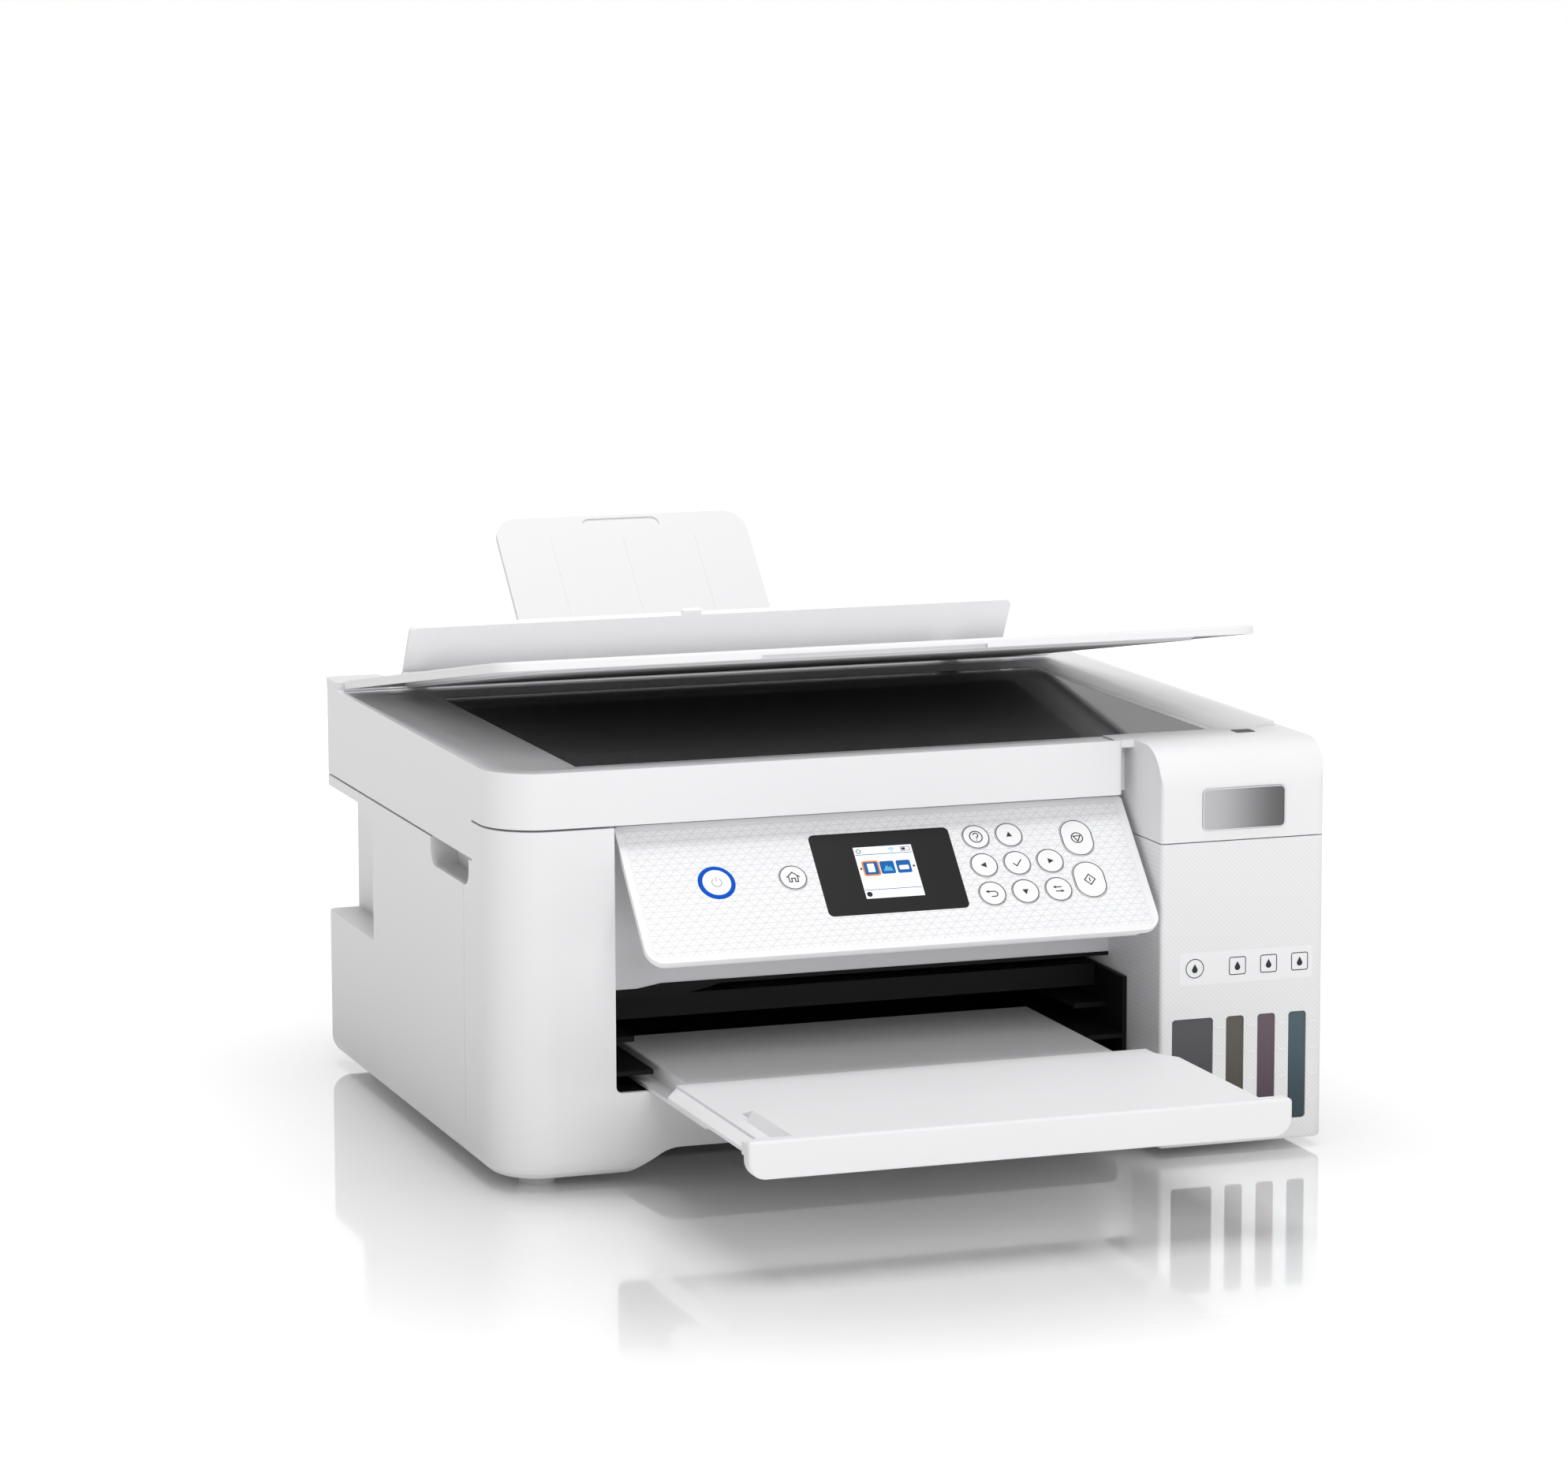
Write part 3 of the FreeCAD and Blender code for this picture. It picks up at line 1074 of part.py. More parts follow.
def panel_plate():
    """Front plate of the control panel with its key and window openings."""
    y0 = down(PANEL_LEN)
    corners = [(PANEL_L, y0, PANEL_R), (PANEL_R_X, y0, PANEL_R), (PANEL_R_X, PANEL_ABOVE, 2), (PANEL_L, PANEL_ABOVE, 2)]
    z0 = PANEL_FACE - PANEL_T
    flat = prism(corners, "z", z0, PANEL_FACE)
    cuts = [screen_block(FIT / 2, z0 - 1, PANEL_FACE + 1)]
    for name, x, row, radius in round_buttons():
        hole = RING_R if name == "power_button" else radius
        cuts.append(rod("z", hole + BUTTON_FIT, z0 - 1, PANEL_FACE + 1, x, down(row)))
    for name, x, row in pill_buttons():
        cuts.append(pill(x, row, BUTTON_FIT, z0 - 1, PANEL_FACE + 1))
    return on_panel(less(flat, *cuts))


def panel_back():
    """Back shell of the control panel with hinge pins in two slots."""
    x0 = PANEL_L + SHELL_INSET
    x1 = PANEL_R_X - SHELL_INSET
    y0 = down(PANEL_LEN) + SHELL_INSET
    y1 = PANEL_ABOVE - SHELL_INSET
    z1 = PANEL_FACE - PANEL_T
    z0 = z1 - SHELL_T
    corners = [(x0, y0, PANEL_R), (x1, y0, PANEL_R), (x1, y1, 2), (x0, y1, 2)]
    shell = prism(corners, "z", z0, z1)
    shell = rounded_edges(shell, 2.4, lambda e: e.BoundBox.ZMax < z0 + 1e-6)
    slot_low = -PANEL_LUG_R - 1.2
    hinge_w = PANEL_LUG_IN + PANEL_LUG_W + PANEL_PIN_L
    inside = plate(x0 + SHELL_WALL, x1 - SHELL_WALL, y0 + SHELL_WALL, slot_low - SHELL_WALL,
                   z0 + SHELL_WALL, z1 + 1, 3.0)
    above = box(PANEL_L + hinge_w, PANEL_R_X - hinge_w, slot_low - SHELL_WALL - 4, y1 - SHELL_WALL,
                z0 + SHELL_WALL, z1 + 1)
    cuts = [inside, above]
    pins = []
    for x in LUG_XS:
        cuts.append(box(x - 0.5, x + PANEL_LUG_W + 0.5, slot_low, y1 + 1, z0 - 1, z1 + 1))
        pins.append(rod("x", PANEL_PIN_R, x - PANEL_PIN_L, x + PANEL_LUG_W + PANEL_PIN_L, 0, 0))
    return on_panel(joined(less(shell, *cuts), *pins))


def display_window():
    """Black window of the display, with the opening for the lit picture."""
    z1 = PANEL_FACE + 0.15
    window = screen_block(0, z1 - SCREEN_T, z1)
    return on_panel(less(window, lcd_block(0, z1 - SCREEN_T - 1, z1 + 1)))


def lcd_screen():
    """Display module that fills the window's opening."""
    z1 = PANEL_FACE + 0.15
    glass = lcd_block(0, z1 - SCREEN_T, z1 - 0.05)
    board = lcd_block(2.5, z1 - SCREEN_T - 2.0, z1 - SCREEN_T)
    return on_panel(joined(glass, board))


def power_ring():
    """Light ring round the power key."""
    z1 = PANEL_FACE + BUTTON_PROUD
    row = down(BUTTON_ROW)
    ring = rod("z", RING_R, PANEL_FACE - PANEL_T, z1, POWER_X, row)
    seat = box(POWER_X - RING_R, POWER_X + RING_R, row - RING_R - 2, row + RING_R + 2,
               PANEL_FACE - PANEL_T - RING_SEAT, PANEL_FACE - PANEL_T)
    return on_panel(less(joined(ring, seat), rod("z", POWER_R + BUTTON_FIT, PANEL_FACE - PANEL_T - 2, z1 + 1,
                                                 POWER_X, row)))


def button_depths(seat):
    """Lower face of a key, face of its flange and upper face, under a seat so thick."""
    top = PANEL_FACE + BUTTON_PROUD
    bottom = PANEL_FACE - PANEL_T - seat - BUTTON_FLANGE - BUTTON_GAP
    return bottom, bottom + BUTTON_FLANGE, top


def round_button(x, row, radius, seat):
    """Round key with a flat retaining flange."""
    bottom, flange_top, top = button_depths(seat)
    key = rod("z", radius, bottom, top, x, down(row))
    reach = radius + BUTTON_LIP
    rim = box(x - reach, x + reach, down(row) - radius / 2, down(row) + radius / 2, bottom, flange_top)
    return on_panel(joined(key, rim))


def pill_button(x, row):
    """Long key with a flat retaining flange."""
    bottom, flange_top, top = button_depths(0)
    key = pill(x, row, 0, bottom, top)
    reach = PILL_H / 2 + BUTTON_LIP
    rim = box(x - PILL_W / 4, x + PILL_W / 4, down(row) - reach, down(row) + reach, bottom, flange_top)
    return on_panel(joined(key, rim))


def output_tray():
    """First stage of the output tray: a plate with side flanges and a raised middle."""
    x0 = PATH_X - TRAY_W / 2
    x1 = PATH_X + TRAY_W / 2
    y0 = -TRAY_OUT + FRONT_WALL_T + EXT_TRAVEL + 2 * FIT
    y1 = y0 + TRAY_LEN
    z0 = TRAY_Z
    z1 = z0 + TRAY_FLANGE_T
    inner0 = x0 + TRAY_FLANGE_W
    inner1 = x1 - TRAY_FLANGE_W
    top = PLATEAU_Z
    skin = PLATEAU_T
    section = [
        (x0, z0), (inner0 + skin, z0), (inner0 + skin, top - skin), (inner1 - skin, top - skin),
        (inner1 - skin, z0), (x1, z0), (x1, z1), (inner1, z1), (inner1, top, 1.0), (inner0, top, 1.0),
        (inner0, z1), (x0, z1),
    ]
    tray = prism(section, "y", y0, y1)
    ribs = [box(PATH_X + i * 40 - 0.8, PATH_X + i * 40 + 0.8, y0, y1, top - skin - 2.5, top - skin + 0.5)
            for i in (-2, -1, 0, 1, 2)]
    stop = box(x0 - 2.0, x0 + 2, y1 - 6, y1, z0, z1)
    return joined(tray, stop, *ribs)


def tray_extension():
    """Second stage of the tray, over the first, with side flanges, a front step and the front wall."""
    x0 = PATH_X - EXT_W / 2
    x1 = PATH_X + EXT_W / 2
    y0 = -TRAY_OUT
    y_wall = y0 + FRONT_WALL_T - 1
    y_end = y0 + EXT_LEN
    z0 = PLATEAU_Z + FIT
    deck = box(x0, x1, y_wall, y_end, z0, z0 + EXT_T)
    flange = [
        (x0 - EXT_FLANGE_W, y_wall), (x1 + EXT_FLANGE_W, y_wall),
        (x1 + EXT_FLANGE_W, y_end - EXT_FLANGE_TAPER), (x1, y_end),
        (x0, y_end), (x0 - EXT_FLANGE_W, y_end - EXT_FLANGE_TAPER),
    ]
    wall_l = OPEN_L + FRONT_WALL_GAP
    wall_r = OPEN_R - FRONT_WALL_GAP
    face = [(wall_l, FRONT_WALL_Z0, FRONT_WALL_R), (wall_r, FRONT_WALL_Z0, FRONT_WALL_R),
            (wall_r, FRONT_WALL_Z1, 2.0), (wall_l, FRONT_WALL_Z1, 2.0)]
    wall = prism(face, "y", y0, y0 + FRONT_WALL_T)
    wall = rounded_edges(wall, 1.5, lambda e: e.BoundBox.YMax < y0 + 1e-6)
    step_l = x0 + STEP_IN
    step_r = x1 - STEP_IN
    step = prism([(step_l - STEP_SLANT, z0), (step_r + STEP_SLANT, z0),
                  (step_r, FRONT_WALL_Z1), (step_l, FRONT_WALL_Z1)], "y", y_wall, y_wall + STEP_D)
    ramp = prism([(y_wall + STEP_D - 0.5, z0 + 1), (y_wall + STEP_D - 0.5, FRONT_WALL_Z1),
                  (y_wall + STEP_D + STEP_RAMP, z0 + EXT_T), (y_wall + STEP_D + STEP_RAMP, z0 + 1)],
                 "x", step_l, step_r)
    ends = [box(x, x + FRONT_END_W, y_wall, y0 + FRONT_END_D, z0, FRONT_WALL_Z1 - 2)
            for x in (wall_l + 1.0, wall_r - 1.0 - FRONT_END_W)]
    return joined(wall, deck, prism(flange, "z", z0, z0 + EXT_FLANGE_T), step, ramp, *ends)


def inner_frame():
    """Black frame of the paper path: walls, floor, ledges over the tray, cross bar and platen."""
    x0 = OPEN_L + 0.2
    x1 = OPEN_R - 0.2
    z_low = FRAME_FLOOR_Z
    walls = [box(x, x + FRAME_WALL, FRAME_FRONT, FRAME_REAR, z_low, FRAME_WALL_TOP)
             for x in (x0, x1 - FRAME_WALL)]
    floor = box(x0, x1, FRAME_FRONT, FRAME_REAR, z_low, z_low + FRAME_FLOOR_T)
    low = [box(x, x + LEDGE_W, FRAME_FRONT, LEDGE_END_Y, LEDGE_LOW_Z, LEDGE_LOW_Z + LEDGE_LOW_T)
           for x in (x0, x1 - LEDGE_W)]
    high = [plate(x, x + LEDGE_W - 2, LEDGE_HIGH_Y, LEDGE_END_Y, LEDGE_HIGH_Z, LEDGE_HIGH_Z + LEDGE_HIGH_T, 1.6)
            for x in (x0, x1 - LEDGE_W + 2)]
    bar = box(x0, x1, BAR_Y, BAR_Y + BAR_D, BAR_Z, FRAME_WALL_TOP)
    platen = box(x0, x1, PLATEN_Y0, PLATEN_Y1, PLATEN_Z, PLATEN_Z + PLATEN_T)
    pitch = (x1 - x0) / (PLATEN_RIBS + 1)
    ribs = [box(x0 + pitch * (i + 1) - 0.8, x0 + pitch * (i + 1) + 0.8, PLATEN_Y0 + 4, PLATEN_Y1 - 4,
                PLATEN_Z + PLATEN_T - 0.5, PLATEN_Z + PLATEN_T + PLATEN_RIB_H) for i in range(PLATEN_RIBS)]
    frame = joined(floor, *walls, *low, *high, bar, platen, *ribs)
    cuts = []
    for y in (FEED_Y, EXIT_Y):
        cuts.append(rod("x", JOURNAL_R + 0.4, x0 - 1, x0 + FRAME_WALL + 1, y, ROLLER_Z))
        cuts.append(rod("x", JOURNAL_R + RUN, x1 - FRAME_WALL - 1, x1 + 1, y, ROLLER_Z))
    head_gap = box(x0 - 1, x1 + 1, CARRIAGE_Y0 - 2, CARRIAGE_Y1 + 2, HEAD_Z - 0.8, FRAME_WALL_TOP + 1)
    return less(frame, head_gap, *cuts)


def roller_ends():
    """Left end in the gear bay, left and right end of the rolling length, right journal end."""
    return GEAR_X0, OPEN_L + FRAME_WALL + 1.0, OPEN_R - FRAME_WALL - 1.0, OPEN_R - 0.5


def feed_roller():
    """Feed roller with its journals and gear."""
    gear_end, x0, x1, right_end = roller_ends()
    shaft = rod("x", JOURNAL_R, gear_end, right_end, FEED_Y, ROLLER_Z)
    barrel = rod("x", FEED_ROLLER_R, x0, x1, FEED_Y, ROLLER_Z)
    wheel = gear(FEED_TEETH, 0.0, JOURNAL_R - 1, FEED_Y, ROLLER_Z)
    return joined(shaft, barrel, wheel)


def exit_roller():
    """Exit shaft with six rubber rings and its gear."""
    gear_end, x0, x1, right_end = roller_ends()
    shaft = rod("x", JOURNAL_R, gear_end, right_end, EXIT_Y, ROLLER_Z)
    pitch = (x1 - x0) / RING_COUNT
    rings = [rod("x", EXIT_ROLLER_R, x0 + pitch * (i + 0.5) - RING_LEN / 2, x0 + pitch * (i + 0.5) + RING_LEN / 2,
                 EXIT_Y, ROLLER_Z) for i in range(RING_COUNT)]
    wheel = gear(EXIT_TEETH, 0.0, JOURNAL_R - 1, EXIT_Y, ROLLER_Z)
    return joined(shaft, wheel, *rings)


def idler_gear():
    """Gear between the two rollers, on a stub axle of the case."""
    half_tooth = 180.0 / IDLER_TEETH
    return gear(IDLER_TEETH, half_tooth, IDLER_AXLE_R + RUN, IDLER_Y, ROLLER_Z)


def motor_pinion():
    """Pinion on the feed motor's shaft, in mesh with the feed gear."""
    step = 360.0 / FEED_TEETH
    along = PINION_TURN / step - math.floor(PINION_TURN / step)
    turn = PINION_TURN + 180.0 + (0.5 + along) * 360.0 / PINION_TEETH
    return gear(PINION_TEETH, turn, PINION_BORE + RUN, PINION_Y, PINION_Z)


def feed_motor():
    """Feed motor with its shaft, plate and two posts to the partition."""
    plate_x = GEAR_X0 - 2.0
    body = rod("x", MOTOR_R, plate_x - MOTOR_PLATE_T - MOTOR_L, plate_x - MOTOR_PLATE_T, PINION_Y, PINION_Z)
    shaft = rod("x", PINION_BORE, plate_x - 1, GEAR_X1, PINION_Y, PINION_Z)
    post_places = ((PINION_Y + 18, PARTITION_TOP - 8), (PINION_Y + 34, PARTITION_TOP - 8))
    posts = [rod("x", 2.5, plate_x - 1, OPEN_L - WALL, y, z) for y, z in post_places]
    sheet = prism([(PINION_Y - 15, PINION_Z - 15, 4), (PINION_Y + 14, PARTITION_TOP - 13, 3),
                   (PINION_Y + 39, PARTITION_TOP - 13, 3), (PINION_Y + 39, PARTITION_TOP - 3, 3),
                   (PINION_Y + 15, PINION_Z + 15, 4), (PINION_Y - 15, PINION_Z + 15, 4)],
                  "x", plate_x - MOTOR_PLATE_T, plate_x)
    return joined(body, shaft, sheet, *posts)


def carriage_bounds():
    """Left and right side of the print carriage at home."""
    return CARRIAGE_HOME - CARRIAGE_W / 2, CARRIAGE_HOME + CARRIAGE_W / 2


def print_carriage():
    """Carriage with rod bore, belt clip and the print head below."""
    x0, x1 = carriage_bounds()
    profile = [
        (CARRIAGE_Y0, CARRIAGE_Z0), (CARRIAGE_Y1, CARRIAGE_Z0), (CARRIAGE_Y1, CARRIAGE_Z1, 3),
        (CARRIAGE_Y0 + 8, CARRIAGE_Z1, 6), (CARRIAGE_Y0, CARRIAGE_Z1 - 14, 4),
    ]
    body = prism(profile, "x", x0, x1)
    head = box(CARRIAGE_HOME - HEAD_W / 2, CARRIAGE_HOME + HEAD_W / 2, PLATEN_Y0 + 6, PLATEN_Y1 - 12,
               HEAD_Z + 1.0, CARRIAGE_Z0 + 1)
    clip = box(CARRIAGE_HOME - 7, CARRIAGE_HOME + 7, CARRIAGE_Y1 - 1, BELT_Y0 - 0.4, BELT_Z - 9, BELT_Z - 2)
    pocket = box(x0 + 4, x1 - 4, CARRIAGE_Y0 + 12, CARRIAGE_Y1 - 20, CARRIAGE_Z1 - 12, CARRIAGE_Z1 + 1)
    bore = rod("x", ROD_R + RUN, x0 - 1, x1 + 1, ROD_Y, ROD_Z)
    return less(joined(body, head, clip), bore, pocket)


def leg_xs():
    """Left sides of the two chassis legs."""
    return LEFT + WALL + 0.6, RIGHT - WALL - 0.6 - LEG_T


def chassis():
    """Steel rail sheet with two side legs that stand on the case floor."""
    x0, x1 = leg_xs()
    sheet = box(x0, x1 + LEG_T, RAIL_Y, RAIL_Y + RAIL_T, RAIL_Z0, RAIL_Z1)
    lip = box(x0, x1 + LEG_T, RAIL_Y, RAIL_Y + RAIL_FLANGE, RAIL_Z1 - RAIL_T, RAIL_Z1)
    legs = []
    for x in (x0, x1):
        profile = [(RAIL_Y - LEG_D, RAIL_Z0), (RAIL_Y - 6, FLOOR + BOTTOM_R), (RAIL_Y + RAIL_FLANGE, FLOOR + BOTTOM_R),
                   (RAIL_Y + RAIL_FLANGE, RAIL_Z1), (RAIL_Y - LEG_D, RAIL_Z1, 8)]
        legs.append(prism(profile, "x", x, x + LEG_T))
        foot_x = x + LEG_T if x < 0 else x - 10
        legs.append(box(min(x, foot_x), max(x + LEG_T, foot_x + 10), RAIL_Y - 6, RAIL_Y + RAIL_FLANGE,
                        FLOOR, FLOOR + BOTTOM_R + 0.5))
    axles = [rod("y", PULLEY_AXLE_R, BELT_Y0 - 1.5, RAIL_Y + 0.5, x, BELT_Z) for x in PULLEY_XS]
    frame = joined(sheet, lip, *legs, *axles)
    return less(frame, *[rod("x", ROD_R, x - 1, x + LEG_T + 1, ROD_Y, ROD_Z) for x in (x0, x1)])


def guide_rod():
    """Polished rod on which the print carriage runs."""
    x0, x1 = leg_xs()
    return rod("x", ROD_R, x0, x1 + LEG_T, ROD_Y, ROD_Z)


def belt_loop(radius):
    """Outline of the belt round both pulleys at a radius."""
    x0, x1 = PULLEY_XS
    points = [(x0 - radius, BELT_Z - radius, radius - 0.001), (x1 + radius, BELT_Z - radius, radius - 0.001),
              (x1 + radius, BELT_Z + radius, radius - 0.001), (x0 - radius, BELT_Z + radius, radius - 0.001)]
    return prism(points, "y", BELT_Y0, BELT_Y1)


def carriage_belt():
    """Toothed belt that draws the carriage, as a plain loop."""
    inner = PULLEY_R + FIT
    return less(belt_loop(inner + BELT_T), belt_loop(inner))


def belt_pulley(i):
    """Flanged belt pulley on its axle."""
    x = PULLEY_XS[i]
    hub = rod("y", PULLEY_R, BELT_Y0 - 0.3, BELT_Y1 + 0.3, x, BELT_Z)
    flange = rod("y", PULLEY_R + PULLEY_FLANGE, BELT_Y0 - 1.3, BELT_Y0 - 0.3, x, BELT_Z)
    spokes = [rod("y", 0.9, BELT_Y0 - 2, BELT_Y1 + 1, x + 3.2 * math.cos(a), BELT_Z + 3.2 * math.sin(a))
              for a in (0.5, 2.6, 4.7)]
    return less(joined(hub, flange), rod("y", PULLEY_AXLE_R + RUN, BELT_Y0 - 3, BELT_Y1 + 3, x, BELT_Z), *spokes)


def carriage_motor():
    """Motor behind the rail sheet at the left pulley."""
    return rod("y", MOTOR_R, RAIL_Y + RAIL_T, RAIL_Y + RAIL_T + MOTOR_L, PULLEY_XS[0], BELT_Z - 2)


def cap_station():
    """Service station under the carriage's home, with two sealing caps."""
    x0 = CARRIAGE_HOME - STATION_W / 2
    y0 = (PLATEN_Y0 + PLATEN_Y1 - STATION_D) / 2
    top = HEAD_Z + 1.0 - STATION_GAP
    base = box(x0, x0 + STATION_W, y0, y0 + STATION_D, FLOOR, top - 12)
    sled = plate(x0 + 8, x0 + STATION_W - 8, y0 + 5, y0 + STATION_D - 5, top - 13, top - 4, 3.0)
    caps = [less(plate(x - 8, x + 8, y0 + 9, y0 + STATION_D - 9, top - 5, top, 2.5),
                 plate(x - 6, x + 6, y0 + 11, y0 + STATION_D - 11, top - 3, top + 1, 1.5))
            for x in (CARRIAGE_HOME - 9, CARRIAGE_HOME + 9)]
    return joined(base, sled, *caps)


def main_board():
    """Main circuit board on standoffs, with its rear data port."""
    x0 = board_x0()
    y1 = BODY_D - WALL - 3.0
    z0 = FLOOR + STANDOFF_H
    board = box(x0, x0 + BOARD_W, y1 - BOARD_D, y1, z0, z0 + BOARD_T)
    usb_x = x0 + BOARD_W / 2
    port = box(usb_x - USB_W / 2, usb_x + USB_W / 2, BODY_D - USB_D, BODY_D - 0.3, z0 + BOARD_T - 0.2, z0 + BOARD_T + USB_H)
    hole = box(usb_x - USB_W / 2 + 1.6, usb_x + USB_W / 2 - 1.6, BODY_D - 10, BODY_D + 1,
               z0 + BOARD_T + 1.6, z0 + BOARD_T + USB_H - 1.8)
    chips = [box(x0 + 12, x0 + 28, y1 - 70, y1 - 54, z0 + BOARD_T - 0.2, z0 + BOARD_T + 2),
             box(x0 + 38, x0 + 54, y1 - 92, y1 - 80, z0 + BOARD_T - 0.2, z0 + BOARD_T + 1.6)]
    return joined(less(joined(board, port), hole), *chips)


def power_supply():
    """Power supply box in the left bay."""
    x0 = LEFT + WALL + BOTTOM_R
    y1 = BODY_D - INLET_D - 2.0
    return plate(x0, x0 + PSU_W - BOTTOM_R, y1 - PSU_D, y1, FLOOR, FLOOR + PSU_H, 2.0)


def ac_inlet():
    """Two-pin mains inlet in the rear wall."""
    x0, x1 = INLET_X - INLET_W / 2 + 0.1, INLET_X + INLET_W / 2 - 0.1
    z0, z1 = INLET_Z + 0.1, INLET_Z + INLET_H - 0.1
    body = box(x0, x1, BODY_D - INLET_D, BODY_D - 0.4, z0, z1)
    middle = (z0 + z1) / 2
    socket = [(INLET_X - SOCKET_W / 2, middle - SOCKET_H / 2, SOCKET_H / 2 - 0.2),
              (INLET_X + SOCKET_W / 2, middle - SOCKET_H / 2, SOCKET_H / 2 - 0.2),
              (INLET_X + SOCKET_W / 2, middle + SOCKET_H / 2, SOCKET_H / 2 - 0.2),
              (INLET_X - SOCKET_W / 2, middle + SOCKET_H / 2, SOCKET_H / 2 - 0.2)]
    body = less(body, prism(socket, "y", BODY_D - SOCKET_D, BODY_D + 1))
    pins = [rod("y", 1.2, BODY_D - SOCKET_D - 1, BODY_D - 3, INLET_X + side * 4.3, middle) for side in (-1, 1)]
    return joined(body, *pins)


def rubber_feet():
    """Four rubber feet under the case and the tank block."""
    places = [(LEFT + FOOT_INSET, FOOT_INSET), (RIGHT - FOOT_INSET, FOOT_TANK_Y),
              (LEFT + FOOT_INSET, BODY_D - FOOT_INSET), (RIGHT - FOOT_INSET, BODY_D - FOOT_INSET)]
    feet = []
    for x, y in places:
        top = FOOT_H - 0.3 if y < TANK_BACK and x > OPEN_R else FOOT_H
        feet.append(Part.makeCone(FOOT_R - 1.2, FOOT_R, top, V(x, y, 0)))
    return Part.makeCompound(feet)


def case_screws():
    """Screw heads on the rear wall."""
    heads = [rod("y", SCREW_R, BODY_D, BODY_D + SCREW_H, side * SCREW_X, z)
             for side in (-1, 1) for z in SCREW_Z]
    return Part.makeCompound(heads)


def build_all():
    """Every sub-part by its node name."""
    parts = {
        "main_case": main_case(),
        "tank_housing": tank_housing(),
        "inner_frame": inner_frame(),
        "chassis": chassis(),
        "guide_rod": guide_rod(),
        "carriage_belt": carriage_belt(),
        "carriage_motor": carriage_motor(),
        "feed_motor": feed_motor(),
        "cap_station": cap_station(),
        "main_board": main_board(),
        "power_supply": power_supply(),
        "ac_inlet": ac_inlet(),
        "rubber_feet": rubber_feet(),
        "case_screws": case_screws(),
        "rear_feed_tray": rear_feed_tray(),
        "print_carriage": print_carriage(),
        "drive_pulley": belt_pulley(0),
        "idler_pulley": belt_pulley(1),
        "feed_roller": feed_roller(),
        "idler_gear": idler_gear(),
        "exit_roller": exit_roller(),
        "motor_pinion": motor_pinion(),
        "paper_support": paper_support(),
        "edge_guide_left": edge_guide(-1),
        "edge_guide_right": edge_guide(1),
        "rear_cover": rear_cover(),
        "output_tray": output_tray(),
        "tray_extension": tray_extension(),
        "scanner_case": scanner_case(),
        "scanner_bed": scanner_bed(),
        "scanner_glass": glass_box(0, GLASS_Z - GLASS_T, GLASS_Z),
        "scan_carriage": scan_carriage(),
        "lid_cover": lid_cover(),
        "lid_pad": lid_pad(),
        "feeder_guard": feeder_guard(),
        "panel_plate": panel_plate(),
        "panel_back": panel_back(),
        "display_window": display_window(),
        "lcd_screen": lcd_screen(),
        "power_ring": power_ring(),
    }
    for i, colour in enumerate(TANK_NAMES):
        parts["ink_tank_" + colour] = ink_tank(i)
        parts["tank_cap_" + colour] = tank_cap(i)
    for name, x, row, radius in round_buttons():
        seat = RING_SEAT if name == "power_button" else 0
        parts[name] = round_button(x, row, radius, seat)
    for name, x, row in pill_buttons():
        parts[name] = pill_button(x, row)
    return parts


def main():
    """Write one STEP file for each sub-part, with the origin under the middle of the whole printer."""
    os.makedirs("parts", exist_ok=True)
    for name, shape in build_all().items():
        placed = shape.copy()
        placed.translate(V(0, -ORIGIN_Y, 0))
        placed.exportStep("parts/" + name + ".step")


if __name__ == "__main__":
    main()
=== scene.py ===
"""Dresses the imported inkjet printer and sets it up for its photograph."""

import json
import logging
import math
from dataclasses import dataclass, field
from enum import Enum
from typing import Callable, Optional, Union

import bpy
from mathutils import Matrix, Vector


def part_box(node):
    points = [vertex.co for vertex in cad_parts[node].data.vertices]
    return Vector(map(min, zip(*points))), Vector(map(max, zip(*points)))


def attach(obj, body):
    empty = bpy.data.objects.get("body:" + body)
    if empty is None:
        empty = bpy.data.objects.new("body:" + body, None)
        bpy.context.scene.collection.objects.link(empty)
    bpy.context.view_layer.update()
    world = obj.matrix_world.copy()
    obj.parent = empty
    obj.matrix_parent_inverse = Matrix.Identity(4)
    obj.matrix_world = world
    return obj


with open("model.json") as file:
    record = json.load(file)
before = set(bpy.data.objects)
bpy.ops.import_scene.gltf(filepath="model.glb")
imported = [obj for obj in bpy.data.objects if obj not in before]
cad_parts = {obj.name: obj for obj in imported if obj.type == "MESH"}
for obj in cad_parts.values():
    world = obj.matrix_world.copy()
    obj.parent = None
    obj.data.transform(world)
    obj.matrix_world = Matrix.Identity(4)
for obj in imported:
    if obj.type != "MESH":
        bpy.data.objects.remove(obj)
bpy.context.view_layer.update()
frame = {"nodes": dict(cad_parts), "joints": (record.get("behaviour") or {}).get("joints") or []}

LOG = logging.getLogger("printer")
MM = 0.001
Point = tuple[float, float]
Triple = tuple[float, float, float]
Box = tuple[float, float, float, float]
Polygon = list[Point]
Colour = tuple[float, float, float]
NodeTree = bpy.types.NodeTree
Socket = bpy.types.NodeSocket
Value = Union[Socket, float]
Tone = Union[Socket, Colour]
Placer = Callable[[float, float, float], Vector]


class Pattern(Enum):
    """Surface patterns that a finish may carry."""

    PLAIN = "plain"
    LATTICE = "lattice"
    HATCH = "hatch"
    DOTS = "dots"
    # Painted sheen: tone running from light to dark across a metal face, standing in for a reflection.
    SILVER = "silver"
    # Tone that turns lighter towards the top in a smooth ramp.
    LEVEL = "level"


@dataclass(frozen=True)
class Finish:
    """One surface finish, with its grain and pattern."""

    name: str
    colour: Colour
    roughness: float
    grain: float = 1800.0
    relief: float = 0.06
    shade: float = 0.03
    metallic: float = 0.0
    specular: float = 0.5
    glow: Optional[Colour] = None
    glow_strength: float = 1.0
    pattern: Pattern = Pattern.PLAIN
    second: Colour = (0.5, 0.5, 0.5)


